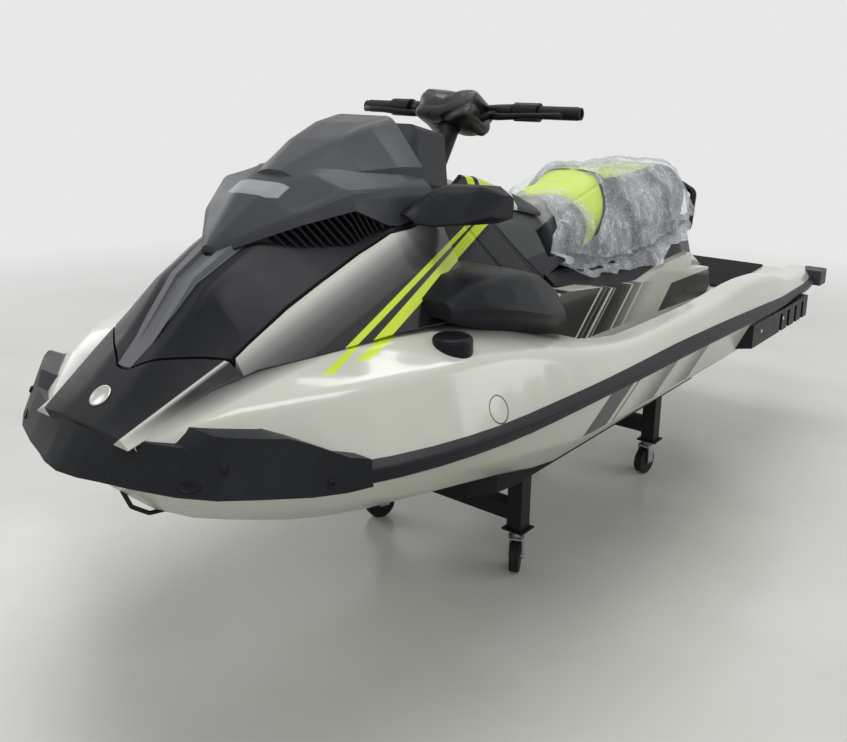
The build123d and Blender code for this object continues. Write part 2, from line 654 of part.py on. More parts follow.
pedestal_body = skin(PEDESTAL, pedestal_ring, STEP_LONG)
seat_pedestal = pedestal_body - console - bay
write("seat_pedestal", seat_pedestal)
under_seat = Pos(0, 0, SEAT_GAP) * (pedestal_body + console_body)
seat_front = skin(SEAT_FRONT, form_ring, STEP_SHORT, bevel=SEAT_BEVEL) - under_seat
seat_rear = skin(SEAT_REAR, form_ring, STEP_SHORT, bevel=SEAT_BEVEL) - under_seat
seat_hinge = Pos(x_at(SEAT_HINGE_S), 0, z_at(SEAT_HINGE_Z)) * Rot(90, 0, 0)
seat_front = seat_front + seat_hinge * Cylinder(SEAT_HINGE_RADIUS, 2 * SEAT_HINGE_HALF)
write("seat_cushion_front", seat_front)
write("seat_cushion_rear", seat_rear)


def film_ring(s, hem_y, hem_z, inward=0.0):
    side_y, side_z, top_y, top_z = eased(SEAT_FRONT if s >= SEAT_SPLIT else SEAT_REAR, s)[3:7]
    proud = FILM_PROUD - inward
    half = [
        (hem_y - inward, hem_z - inward * 4), (side_y + proud, side_z),
        (top_y + proud, top_z + proud),
    ]
    return ring(s, half, [0, SEAT_BEVEL, SEAT_BEVEL])


film_inner = skin(FILM, film_ring, STEP_SHORT, -10.0, -10.0, inward=FILM_THICK)
seat_film = skin(FILM, film_ring, STEP_SHORT) - film_inner - seat_front - seat_rear - under_seat
write("seat_film", seat_film)


# Rub rail round the sides, on the deck's and the hull's own slopes
def rail_ring(s, above, below):
    bond_y, ridge_y, ridge_z = eased(DECK, s)[1:4]
    low = bond_z(s)
    lean = (bond_y - ridge_y) * above / (ridge_z - low)
    edge = bond_y + RAIL_GAP
    out = bond_y + RAIL_OUT
    points = [
        (edge, low - below), (out - 3, low - below), (out, low + above * 0.5),
        (bond_y - lean + RAIL_GAP, low + above), (edge, low),
    ]
    return port_ring(s, points, [0, 4.0, 6.0, 0, 0])


port_rail = skin(RAIL, rail_ring, STEP_SHORT)
write("rub_rail", both_sides(port_rail))

# Bow bumper, wrapped round the deck's edge, and the panel between it and the hood
def bumper_plan(first, height):
    port = [(row[first], row[first + 1]) for row in BUMPER_PLAN]
    whole = [*reversed(port), *[(s, -y) for s, y in port if y > 0]]
    return Face(Wire(Polyline(*[(x_at(s), y, z_at(height)) for s, y in whole], close=True).edges()))


bumper = loft([bumper_plan(0, BUMPER_FOOT_Z), bumper_plan(2, BUMPER_BRIM_Z)], ruled=True)
bumper = (bumper & side_prism(BUMPER_SIDE, 700)) - deck_body - hull_body
write("bow_bumper", bumper)
fairing_space = Pos(SEAM, 0, 0) * fairing_plan
nose_panel = cowl_outer - behind_hood_front(NOSE_SEAM) - deck_body - bumper
nose_panel = nose_panel - fairing_space - mirrored(fairing_space)
write("nose_panel", nose_panel)


# Side pods and mirrors
def pod_ring(s, low_y, low_z, out_y, out_z, top_y, top_z):
    points = [(POD_ROOT, low_z), (low_y, low_z), (out_y, out_z), (top_y, top_z), (POD_ROOT, top_z)]
    return port_ring(s, points, [0, POD_BEVEL, POD_BEVEL, POD_BEVEL, 0])


port_pod = skin(PODS, pod_ring, STEP_SHORT) - deck - cowl_outer - console
write("side_pods", both_sides(port_pod))


def mirror_ring(y, front_s, rear_s, low_z, high_z):
    points = [
        (front_s, low_z + 14), (front_s - 60, high_z), (rear_s, high_z - 12), (rear_s, low_z),
    ]
    return eased_face([(x_at(s), y, z_at(z)) for s, z in points], [12.0, 26.0, 12.0, 10.0])


port_mirror = loft([mirror_ring(*row) for row in MIRRORS], ruled=True) - brow_body - cowl_outer
glass_in, glass_out = MIRRORS[2], MIRRORS[4]
glass_slope = (glass_out[2] - glass_in[2]) / (glass_out[0] - glass_in[0])
glass_line = [
    (glass_in[2] + glass_slope * MIRROR_GLASS_MARGIN, glass_in[0] + MIRROR_GLASS_MARGIN),
    (glass_out[2] - glass_slope * MIRROR_GLASS_MARGIN, glass_out[0] - MIRROR_GLASS_MARGIN),
]
glass_plan = [*glass_line, *[(s - MIRROR_GLASS_THICK, y) for s, y in reversed(glass_line)]]
glass_low = max(glass_in[3], glass_out[3]) + MIRROR_GLASS_MARGIN
glass_high = min(glass_in[4], glass_out[4]) - MIRROR_GLASS_DROP
glass = plan_prism(glass_plan, glass_low, glass_high)
write("mirror_glass", both_sides(glass - port_mirror))
write("mirrors", both_sides(port_mirror))

# Sponsons with their slots
sponson = box_between((SPONSON_REAR, 500, SPONSON_LOW), (SPONSON_FRONT, SPONSON_OUT, SPONSON_HIGH))
slot_pitch = (SPONSON_FRONT - SPONSON_REAR) * 0.5 / SPONSON_RIBS
for i in range(SPONSON_RIBS):
    slot_s = SPONSON_REAR + slot_pitch * (i + 0.6)
    sponson = sponson - box_between(
        (slot_s, SPONSON_OUT - SPONSON_DEEP, SPONSON_LOW - 1),
        (slot_s + SPONSON_SLOT, SPONSON_OUT + 1, SPONSON_HIGH - 16),
    )
sponson = chamfer(sponson.edges().filter_by(Axis.Z).sort_by(Axis.X)[-1], 60) - hull_body
write("sponsons", both_sides(sponson))

# Stern corner bumpers, stern eyes, bow eye
corner = box_between((CORNER_REAR, CORNER_IN, CORNER_LOW), (CORNER_FRONT, CORNER_OUT, CORNER_HIGH))
corner = fillet(corner.edges().filter_by(Axis.Z).group_by(Axis.X)[0], 16)
corner = corner - deck_body - hull_body - port_rail
write("stern_bumpers", both_sides(corner))
eye = rod([
    (TRANSOM_S + 0.0, STERN_EYE_Y, STERN_EYE_HIGH), (TRANSOM_S - STERN_EYE_REACH, STERN_EYE_Y, STERN_EYE_HIGH),
    (TRANSOM_S - STERN_EYE_REACH, STERN_EYE_Y, STERN_EYE_LOW), (TRANSOM_S, STERN_EYE_Y, STERN_EYE_LOW),
], EYE_ROD, 18.0)
write("stern_eyes", both_sides(eye))
bow_eye = rod([(s, 0, z) for s, z in BOW_EYE], EYE_ROD, 16.0) - hull_body
write("bow_eye", bow_eye)

# Fuel cap and grab handle
fuel = Pos(x_at(FUEL_S), FUEL_Y, z_at(FUEL_Z)) * Cylinder(FUEL_DIAMETER / 2, FUEL_HEIGHT)
fuel = fillet(fuel.edges().sort_by(Axis.Z)[-1], 12) - deck_body
write("fuel_cap", fuel)
handle = rod(HANDLE + [(s, -y, z) for s, y, z in reversed(HANDLE)], HANDLE_ROD, 30.0)
write("grab_handle", handle - pedestal_body - plinth)


# Jet pump: housing with its stator, impeller on its shaft, steering nozzle, reverse bucket
def along_x(solid, s):
    """A solid of revolution about Z, laid along the pump's axis with its middle at a station."""
    return Pos(x_at(s), 0, z_at(PUMP_Z)) * Rot(0, 90, 0) * solid


bore = IMPELLER_DIAMETER / 2 + RUNNING_GAP
housing = bore + PUMP_WALL
pump_middle, pump_length = (PUMP_FRONT + PUMP_REAR) / 2, PUMP_FRONT - PUMP_REAR
bottom_slope = HULL[3][3] / HULL[3][2]
tunnel_inside = TUNNEL_HALF - SEAT_GAP
plate_bottom = tunnel_inside * bottom_slope + PLATE_THICK
jet_pump = along_x(Cylinder(housing, pump_length), pump_middle)
jet_pump = jet_pump + box_between(
    (PUMP_FRONT - PUMP_PLATE, -tunnel_inside, plate_bottom),
    (PUMP_FRONT, tunnel_inside, TUNNEL_TOP - SEAT_GAP),
)
jet_pump = jet_pump - along_x(Cylinder(bore, pump_length + 20), pump_middle)
stator_s = PUMP_REAR + STATOR_LENGTH / 2
vane = Pos(0, (bore + HUB_DIAMETER / 2) / 2, 0) * Box(4, bore - HUB_DIAMETER / 2 + 6, STATOR_LENGTH)
jet_pump = jet_pump + along_x(Cylinder(HUB_DIAMETER / 2, STATOR_LENGTH), stator_s)
for i in range(STATOR_VANES):
    jet_pump = jet_pump + along_x(Rot(0, 0, 360 / STATOR_VANES * i) * vane, stator_s)
spout = NOZZLE_BORE / 2 + PUMP_WALL
outer_cone = Cone(housing, spout, CONE_LENGTH)
inner_cone = Cone(bore, NOZZLE_BORE / 2, CONE_LENGTH)
jet_pump = jet_pump + along_x(Rot(180, 0, 0) * (outer_cone - inner_cone), PUMP_REAR - CONE_LENGTH / 2)
spout_front = PUMP_REAR - CONE_LENGTH
spout_tube = Cylinder(spout, SPOUT_LENGTH) - Cylinder(NOZZLE_BORE / 2, SPOUT_LENGTH + 2)
jet_pump = jet_pump + along_x(spout_tube, spout_front - SPOUT_LENGTH / 2)
nozzle_inner = spout + NOZZLE_CLEAR
nozzle_outer = nozzle_inner + NOZZLE_WALL
pivot_s = spout_front - NOZZLE_PIN_BACK
pin_place = Pos(x_at(pivot_s), 0, z_at(PUMP_Z))
for side in (-1, 1):
    pin = Pos(0, 0, side * (spout + nozzle_outer) / 2)
    pin = pin * Cylinder(NOZZLE_PIN / 2, nozzle_outer - spout + PUMP_WALL)
    jet_pump = jet_pump + pin_place * pin
write("jet_pump", jet_pump)

impeller_s = PUMP_REAR + STATOR_LENGTH + RUNNING_GAP + IMPELLER_LENGTH / 2
shaft_front = TUNNEL_FRONT - SEAT_GAP
shaft_rear = PUMP_REAR + STATOR_LENGTH + SEAT_GAP
impeller = along_x(Cylinder(HUB_DIAMETER / 2, IMPELLER_LENGTH), impeller_s)
blade_span = IMPELLER_DIAMETER / 2 - HUB_DIAMETER / 2 + 6
blade = Pos(0, IMPELLER_DIAMETER / 2 - blade_span / 2, 0) * Rot(0, 40, 0) * Box(5, blade_span, 74)
for i in range(IMPELLER_BLADES):
    impeller = impeller + along_x(Rot(0, 0, 360 / IMPELLER_BLADES * i) * blade, impeller_s)
impeller = impeller & along_x(Cylinder(IMPELLER_DIAMETER / 2, IMPELLER_LENGTH), impeller_s)
shaft_length = shaft_front - shaft_rear
impeller = impeller + along_x(
    Cylinder(SHAFT_DIAMETER / 2, shaft_length), (shaft_front + shaft_rear) / 2
)
write("impeller", impeller)

# The nozzle turns on the spout's two pins, which stand in the tabs at its top and bottom
tab_length = NOZZLE_SET_BACK - NOZZLE_PIN_BACK + NOZZLE_PIN
ring_front = spout_front - NOZZLE_SET_BACK
tab_front = ring_front + tab_length
nozzle_rear = ring_front - NOZZLE_LENGTH
nozzle = Cylinder(nozzle_outer, tab_front - nozzle_rear)
nozzle = along_x(nozzle, (tab_front + nozzle_rear) / 2)
boss_s = ring_front - NOZZLE_SET_BACK
bucket_half = nozzle_outer + RUNNING_GAP + BUCKET_SIDE
boss_length = 2 * (nozzle_outer + RUNNING_GAP - SEAT_GAP)
boss_place = Pos(x_at(boss_s), 0, z_at(PUMP_Z)) * Rot(90, 0, 0)
nozzle = nozzle + boss_place * Cylinder(BUCKET_BOSS / 2, boss_length)
nozzle = nozzle - along_x(Cylinder(nozzle_inner, 600), boss_s)
tab_depth = nozzle_outer - RUNNING_GAP * 2
nozzle = nozzle - box_between(
    (ring_front, -housing, PUMP_Z - tab_depth), (tab_front + 1, housing, PUMP_Z + tab_depth)
)
nozzle = nozzle - pin_place * Cylinder(NOZZLE_PIN / 2 + SEAT_GAP / 5, 4 * housing)
write("nozzle", nozzle)

bucket = Cylinder(BUCKET_RADIUS, 2 * bucket_half)
bucket = bucket - Cylinder(BUCKET_RADIUS - BUCKET_WALL, 2 * (bucket_half - BUCKET_SIDE))
bucket_keep = box_between(
    (boss_s - 2 * BUCKET_RADIUS, -bucket_half, PUMP_Z + nozzle_outer + RUNNING_GAP),
    (boss_s + 2 * BUCKET_RADIUS, bucket_half, PUMP_Z + 2 * BUCKET_RADIUS),
)
arm = BUCKET_BOSS / 2
bucket_arms = box_between(
    (boss_s - arm, -bucket_half, PUMP_Z - arm), (boss_s + arm, bucket_half, PUMP_Z + BUCKET_RADIUS - 10)
)
bucket_arms = bucket_arms - box_between(
    (boss_s - 2 * arm, BUCKET_SIDE - bucket_half, 0), (boss_s + 2 * arm, bucket_half - BUCKET_SIDE, 400)
)
write("reverse_bucket", ((boss_place * bucket) & bucket_keep) + bucket_arms)


# Ride plate and intake grate, in a shallow V like the bottom beside them
def plate_ring(s):
    edge = tunnel_inside * bottom_slope
    half = [(0, 0), (tunnel_inside, edge), (tunnel_inside, edge + PLATE_THICK), (0, PLATE_THICK)]
    return ring(s, half, [0] * 4)


grate_rear, grate_front = PUMP_FRONT + SEAT_GAP, TUNNEL_FRONT - SEAT_GAP
write("ride_plate", loft([plate_ring(TRANSOM_S), plate_ring(PUMP_FRONT)], ruled=True))
grate = loft([plate_ring(grate_rear), plate_ring(grate_front)], ruled=True)
bar_pitch = (2 * tunnel_inside - GRATE_BAR) / (GRATE_BARS + 1)
for i in range(GRATE_BARS + 1):
    left = bar_pitch * i + GRATE_BAR - tunnel_inside
    grate = grate - box_between(
        (grate_rear + GRATE_RIM, left, -20), (grate_front - GRATE_RIM, left + bar_pitch - GRATE_BAR, 200)
    )
write("intake_grate", grate)

# Steering: column, bar, pad, grips and controls
bar_centre_s, bar_centre_z = BAR_S + BAR_FORWARD, BAR_Z - BAR_DROP
reach = (bar_centre_z - PIVOT_Z) / cos(radians(STEER_RAKE))
column_length = reach - BAR_DIAMETER / 2 - SEAT_GAP - COLUMN_FOOT
column = column_axis * Pos(0, 0, COLUMN_FOOT + column_length / 2)
column = column * Cylinder(COLUMN_DIAMETER / 2, column_length)
bar = rod([
    (BAR_S, -GRIP_END_Y, BAR_Z), (BAR_S + 20, -150, BAR_Z), (bar_centre_s, -60, bar_centre_z),
    (bar_centre_s, 60, bar_centre_z), (BAR_S + 20, 150, BAR_Z), (BAR_S, GRIP_END_Y, BAR_Z),
], BAR_DIAMETER, 40.0)
write("handlebar", bar)
column = column - bar
write("steering_column", column)
pad = Pos(x_at(bar_centre_s - 20), 0, z_at(bar_centre_z + 22)) * Rot(0, -STEER_RAKE, 0)
pad = pad * Box(PAD_LENGTH, PAD_WIDTH, PAD_HEIGHT)
pad = fillet(pad.edges(), 18) - bar - column
write("bar_pad", pad)
outer_line = Vector(x_at(BAR_S), GRIP_END_Y, z_at(BAR_Z)) - Vector(x_at(BAR_S + 20), 150, z_at(BAR_Z))
along_bar = Plane((x_at(BAR_S), GRIP_END_Y, z_at(BAR_Z)), z_dir=outer_line)
bar_hole = BAR_DIAMETER / 2 + SEAT_GAP / 3
grip = Cylinder(GRIP_DIAMETER / 2, GRIP_LENGTH) - Cylinder(bar_hole, GRIP_LENGTH + 2)
grip = along_bar * Pos(0, 0, 4 - GRIP_LENGTH / 2) * grip
write("grips", both_sides(grip))
control = Cylinder(CONTROL_DIAMETER / 2, CONTROL_LENGTH) - Cylinder(bar_hole, CONTROL_LENGTH + 2)
control = along_bar * Pos(0, 0, 4 - GRIP_LENGTH - 1 - CONTROL_LENGTH / 2) * control
write("bar_controls", both_sides(control))

# Cradle: posts, cross tubes, bunks and casters
def bunk_ring(s):
    inner, outer = TRACK_HALF - BUNK_WIDTH / 2, TRACK_HALF + BUNK_WIDTH / 2
    keel_z, chine_y, chine_z = eased(HULL, s)[1:4]
    rise = (chine_z - keel_z) / chine_y
    low, high = keel_z + inner * rise - SEAT_GAP, keel_z + outer * rise - SEAT_GAP
    points = [(inner, low - BUNK_THICK), (outer, high - BUNK_THICK), (outer, high), (inner, low)]
    return port_ring(s, points, [0] * 4)


bunk = loft([bunk_ring(s) for s in BUNK_STATIONS], ruled=True)
write("cradle_bunks", both_sides(bunk))
posts, tubes = [], []
for station in (CASTERS[0][1], CASTERS[2][1]):
    for side in (-1, 1):
        place = Pos(x_at(station), side * TRACK_HALF, 0)
        post = Pos(0, 0, (300 + CASTER_HEIGHT) / 2) * Box(SLEEVE, SLEEVE, 300 - CASTER_HEIGHT)
        post = post + Pos(0, 0, CASTER_HEIGHT - PLATE_WALL / 2) * Box(CASTER_PLATE, CASTER_PLATE, PLATE_WALL)
        slope_cut = bunk if side > 0 else mirrored(bunk)
        posts.append(place * post - slope_cut - Pos(0, 0, BUNK_THICK) * slope_cut)
    length = 2 * TRACK_HALF - SLEEVE
    tubes.append(Pos(x_at(station), 0, CROSS_Z) * Box(CROSS_TUBE, length, CROSS_TUBE))
write("cradle_posts", Compound(children=[solid for post in posts for solid in post.solids()]))
write("cradle_crossbeams", Compound(children=tubes))

fork_inner = WHEEL_WIDTH / 2 + RUNNING_GAP
crown = WHEEL_DIAMETER + RUNNING_GAP
for name, station, side, yaw in CASTERS:
    turn = Pos(x_at(station), side * TRACK_HALF, 0) * Rot(0, 0, yaw)
    head = CASTER_HEIGHT - PLATE_WALL - 0.5 - crown
    fork = Pos(0, 0, crown + head / 2) * Cylinder(24, head)
    fork = fork + Pos(-CASTER_TRAIL / 2, 0, crown + FORK_PLATE / 2) * Box(
        CASTER_TRAIL + 30, 2 * (fork_inner + FORK_PLATE), FORK_PLATE)
    for y in (-1, 1):
        leg = Pos(-CASTER_TRAIL / 2 - 8, y * (fork_inner + FORK_PLATE / 2), (crown + 44) / 2 + 4)
        fork = fork + leg * Box(CASTER_TRAIL + 6, FORK_PLATE, crown - 44 + 8)
    axle = Pos(-CASTER_TRAIL, 0, WHEEL_DIAMETER / 2) * Rot(90, 0, 0)
    fork = fork + axle * Cylinder(AXLE_DIAMETER / 2, 2 * (fork_inner + FORK_PLATE) + 8)
    write("caster_fork_" + name, turn * fork)
    wheel = Cylinder(WHEEL_DIAMETER / 2, WHEEL_WIDTH) - Cylinder(AXLE_DIAMETER / 2 + 0.05, WHEEL_WIDTH + 2)
    write("caster_wheel_" + name, turn * axle * wheel)
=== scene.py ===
# %% [markdown]
# # Personal watercraft on its wheeled cradle
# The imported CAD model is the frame: it already has every rigid shape and joint. This script
# gives it what a solid modeller doesn't: gelcoat, satin and grained plastics, sprayed fades and
# stripes, the stuffed seat, the crumpled film over it and small fittings. Everything is in
# metres, +X to the bow, +Y to port and +Z up from the floor.

# %% Load the frame
import math

import bmesh
import bpy
from mathutils import Matrix, Vector, noise
from mathutils.bvhtree import BVHTree


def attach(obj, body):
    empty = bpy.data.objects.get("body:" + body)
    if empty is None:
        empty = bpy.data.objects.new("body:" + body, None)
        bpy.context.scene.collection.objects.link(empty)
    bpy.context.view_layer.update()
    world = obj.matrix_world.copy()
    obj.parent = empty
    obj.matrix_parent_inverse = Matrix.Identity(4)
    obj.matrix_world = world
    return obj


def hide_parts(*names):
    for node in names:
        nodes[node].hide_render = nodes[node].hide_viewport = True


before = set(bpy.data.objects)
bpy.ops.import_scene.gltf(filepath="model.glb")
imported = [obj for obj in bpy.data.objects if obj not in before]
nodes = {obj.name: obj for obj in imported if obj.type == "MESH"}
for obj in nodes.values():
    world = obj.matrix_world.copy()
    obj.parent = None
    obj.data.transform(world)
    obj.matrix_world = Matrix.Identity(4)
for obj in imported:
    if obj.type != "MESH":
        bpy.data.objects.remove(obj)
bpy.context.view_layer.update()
scene = bpy.context.scene
scene.view_settings.view_transform = "Standard"

# %% [markdown]
# ## Camera
# The photograph was taken from off the port bow, a little above the windscreen. A camera can be
# placed by eye, but fitting it to known lengths is surer, so these numbers come from such a fit.

# %% Camera
IMAGE_WIDTH, IMAGE_HEIGHT = 847.0, 742.0
CAMERA_PLACE = Vector((2.514, 1.597, 1.461))
CAMERA_TURN, CAMERA_PITCH, CAMERA_ROLL = 129.19, 13.36, -0.724
FOCAL_PIXELS, CENTRE_X, CENTRE_Y = 915.26, 405.3, 292.5
SENSOR = 36.0

turn, pitch, roll = (math.radians(v) for v in (CAMERA_TURN, CAMERA_PITCH, CAMERA_ROLL))
look = Vector((-math.sin(turn) * math.cos(pitch), math.cos(turn) * math.cos(pitch), -math.sin(pitch)))
level = Vector((math.cos(turn), math.sin(turn), 0))
down = look.cross(level)
right = level * math.cos(roll) + down * math.sin(roll)
up = level * math.sin(roll) - down * math.cos(roll)
camera_data = bpy.data.cameras.new("camera")
camera_data.sensor_width = SENSOR
camera_data.lens = FOCAL_PIXELS * SENSOR / IMAGE_WIDTH
camera_data.shift_x = (IMAGE_WIDTH / 2 - CENTRE_X) / IMAGE_WIDTH
camera_data.shift_y = (CENTRE_Y - IMAGE_HEIGHT / 2) / IMAGE_WIDTH
camera_data.clip_end = 100.0
camera = bpy.data.objects.new("camera", camera_data)
rows = [[right[i], up[i], -look[i], CAMERA_PLACE[i]] for i in range(3)] + [[0, 0, 0, 1]]
camera.matrix_world = Matrix(rows)
scene.collection.objects.link(camera)
scene.camera = camera
print("camera lens", round(camera_data.lens, 2))

# %% [markdown]
# ## A helper for materials
# A sprayed stripe has a straight edge because it was masked with tape. A plane does the same in
# a material: it cuts the surface along a line, and a point's distance from it says on which side
# of the tape the point lies. Object coordinates keep the line in place from every side, and the
# width of the craft is read as its distance from the middle, so both sides match.

# %% Paint helper
# The line along which all masks are cut, so that edges on neighbouring panels meet
MASK_SLANT = Vector((-0.735, -0.632, -0.24))
TAPE_EDGE = 0.0008


class Paint:
    """Adds nodes to one material and links them."""

    def __init__(self, name):
        self.material = bpy.data.materials.new(name)
        self.material.use_nodes = True
        self.tree = self.material.node_tree
        self.shader = self.tree.nodes["Principled BSDF"]
        self.place = self.add("ShaderNodeTexCoord").outputs["Object"]
        self.x, self.y, self.z = self.add("ShaderNodeSeparateXYZ", Vector=self.place).outputs
        self.side = self.math("ABSOLUTE", self.y)

    def add(self, kind, **inputs):
        node = self.tree.nodes.new(kind)
        for key, value in inputs.items():
            self.put(node.inputs[key.replace("_", " ")], value)
        return node

    def put(self, socket, value):
        if isinstance(value, bpy.types.NodeSocket):
            self.tree.links.new(value, socket)
        else:
            socket.default_value = value

    def math(self, operation, a, b=0.0, c=0.0):
        node = self.add("ShaderNodeMath")
        node.operation = operation
        for socket, value in zip(node.inputs, (a, b, c)):
            self.put(socket, value)
        return node.outputs[0]

    def linear(self, ax, ay, az, offset=0.0):
        """ax x + ay |y| + az z + offset."""
        total = self.math("MULTIPLY_ADD", self.x, ax, offset)
        total = self.math("MULTIPLY_ADD", self.side, ay, total)
        return self.math("MULTIPLY_ADD", self.z, az, total)

    def cut(self, start, end, slant=MASK_SLANT):
        """Distance forward of a plane through two points, metres."""
        normal = (Vector(end) - Vector(start)).cross(slant).normalized()
        normal = normal if normal.x > 0 else -normal
        return self.linear(*normal, -normal.dot(Vector(start)))

    def cubic(self, value, curve):
        """The cubic's value, highest power first."""
        total = curve[0]
        for part in curve[1:]:
            total = self.math("MULTIPLY_ADD", value, total, part)
        return total

    def ramp(self, value, low, high):
        """0 below low, 1 above high, smooth between."""
        node = self.add("ShaderNodeMapRange", Value=value, From_Min=low, From_Max=high)
        node.interpolation_type = "SMOOTHSTEP"
        return node.outputs[0]

    def over(self, value, soft=TAPE_EDGE):
        """1 where the value is above nought."""
        return self.ramp(value, -soft, soft)

    def between(self, value, low, high, soft=TAPE_EDGE):
        """1 where the value lies between two limits."""
        return self.all(self.ramp(value, low - soft, low + soft), self.ramp(value, high + soft, high - soft))

    def all(self, *masks):
        total = masks[0]
        for mask in masks[1:]:
            total = self.math("MULTIPLY", total, mask)
        return total

    def noise(self, scale, detail=3.0, stretch=(1, 1, 1)):
        where = self.add("ShaderNodeMapping", Vector=self.place, Scale=stretch)
        return self.add("ShaderNodeTexNoise", Vector=where.outputs[0], Scale=scale, Detail=detail).outputs["Fac"]

    def cells(self, scale):
        return self.add("ShaderNodeTexVoronoi", Vector=self.place, Scale=scale).outputs["Distance"]

    def mix(self, factor, a, b):
        node = self.add("ShaderNodeMix")
        node.data_type = "RGBA"
        self.put(node.inputs["Factor"], factor)
        for socket, value in ((node.inputs[6], a), (node.inputs[7], b)):
            self.put(socket, value if isinstance(value, bpy.types.NodeSocket) else (*value[:3], 1.0))
        return node.outputs[2]

    def fade(self, value, stops):
        """Colour along a sprayed fade, from (metres, colour) pairs."""
        first, last = stops[0][0], stops[-1][0]
        span = self.add("ShaderNodeMapRange", Value=value, From_Min=first, From_Max=last)
        node = self.add("ShaderNodeValToRGB", Fac=span.outputs[0])
        ramp = node.color_ramp
        while len(ramp.elements) < len(stops):
            ramp.elements.new(0.5)
        for element, (place, colour) in zip(ramp.elements, stops):
            element.position = (place - first) / (last - first)
            element.color = (*colour, 1.0)
        return node.outputs[0]

    def bump(self, height, distance, normal=None):
        node = self.add("ShaderNodeBump", Height=height, Distance=distance)
        if normal is not None:
            self.put(node.inputs["Normal"], normal)
        return node.outputs[0]

    def finish(self, colour, roughness, normal=None, **fixed):
        self.put(self.shader.inputs["Base Color"], colour if isinstance(colour, bpy.types.NodeSocket) else (*colour, 1.0))
        self.put(self.shader.inputs["Roughness"], roughness)
        for key, value in fixed.items():
            self.shader.inputs[key.replace("_", " ")].default_value = value
        if normal is not None:
            self.put(self.shader.inputs["Normal"], normal)
        return self.material


# %% [markdown]
# ## Plastics, rubber and metal
# Unpainted mouldings have a spark-eroded grain, a faint cloudiness and patches rubbed glossier
# by hands and cloths. One function with a few numbers makes them all. Metal differs in its
# metallic shader and its drawn-out brushing, so it has its own.

# %% Plastics and metals
IVORY, IVORY_LOW = (0.60, 0.60, 0.53), (0.50, 0.51, 0.43)
LIME = (0.60, 0.74, 0.035)
BLACK, CHARCOAL, SLATE = (0.0065, 0.007, 0.009), (0.0100, 0.0108, 0.0135), (0.042, 0.045, 0.051)


def moulded(name, colour, roughness, grain=700.0, depth=0.00005, pattern=None, relief=None):
    paint = Paint(name)
    shade = paint.mix(paint.noise(6.0), [c * 0.82 for c in colour], [min(1, c * 1.18) for c in colour])
    if pattern:
        shade = pattern(paint, shade)
    rubbed = paint.math("MULTIPLY_ADD", paint.noise(18.0), 0.14, roughness - 0.07)
    grained = paint.bump(paint.noise(grain, 1.0), depth)
    if relief:
        grained = paint.bump(relief(paint), 0.003, grained)
    return paint.finish(shade, rubbed, grained, Specular_IOR_Level=0.15)


def metal(name, colour, roughness, brushing=(1, 1, 30)):
    paint = Paint(name)
    rough = paint.math("MULTIPLY_ADD", paint.noise(60.0, 2.0, brushing), 0.2, roughness - 0.1)
    shade = paint.mix(paint.noise(14.0), [c * 0.75 for c in colour], colour)
    return paint.finish(shade, rough, paint.bump(paint.noise(250.0), 0.00003), Metallic=1.0)


# %% [markdown]
# ## Gelcoat with its stripes and fades
# The hull and deck are laid up in a mould whose first coat is pigmented gelcoat, so they are
# glossy with a faint orange peel. The stripes are films laid on it. Each is written below as two
# points on each of its edges; the fades are distances from one such edge.

# %% Fairing: fade from ivory to black, with two lime stripes
FAIRING_BLACK = ((1.193, 0.287, 0.895), (0.761, 0.290, 1.054))
# first and second point of the front edge, then of the rear edge
FAIRING_STRIPES = [
    ((1.099, 0.320, 0.919), (0.757, 0.287, 1.058), (1.061, 0.330, 0.927), (0.769, 0.297, 1.044)),
    ((1.022, 0.341, 0.934), (0.857, 0.321, 1.005), (0.961, 0.350, 0.940), (0.760, 0.315, 1.013)),
]
# metres forward of the black's edge, colour
FAIRING_FADE = [
    (-0.004, BLACK), (0.0, (0.03, 0.031, 0.033)), (0.022, (0.055, 0.055, 0.057)),
    (0.046, (0.11, 0.109, 0.108)), (0.072, (0.27, 0.266, 0.26)), (0.098, IVORY), (0.150, IVORY),
]
STRIPE_SLANT = Vector((-0.79, -0.59, -0.18))


def stripes_between(paint, shade, stripes, colour, *limits):
    for front_start, front_end, rear_start, rear_end in stripes:
        behind = paint.over(paint.math("MULTIPLY", paint.cut(front_start, front_end, STRIPE_SLANT), -1.0))
        ahead = paint.over(paint.cut(rear_start, rear_end, STRIPE_SLANT))
        shade = paint.mix(paint.all(behind, ahead, *limits), shade, colour)
    return shade


def fairing_pattern(paint, shade):
    shade = paint.fade(paint.cut(*FAIRING_BLACK), FAIRING_FADE)
    return stripes_between(paint, shade, FAIRING_STRIPES, LIME)


# %% Deck: smoke beside the nose, stripe ends, footwell panels and a plain ring
SMOKE_INNER = ((1.581, 0.136, 0.775), (1.389, 0.189, 0.883))
SMOKE_OUTER = ((1.560, 0.166, 0.773), (1.265, 0.274, 0.873))
DECK_STRIPES = [
    ((1.249, 0.350, 0.865), (1.127, 0.317, 0.891), (1.226, 0.363, 0.867), (1.118, 0.330, 0.892)),
    ((1.161, 0.362, 0.878), (1.049, 0.341, 0.905), (1.135, 0.381, 0.878), (1.019, 0.356, 0.905)),
]
STRIPE_ENDS = [
    ((1.249, 0.350, 0.865), (1.226, 0.363, 0.867)), ((1.161, 0.362, 0.878), (1.135, 0.381, 0.878)),
]
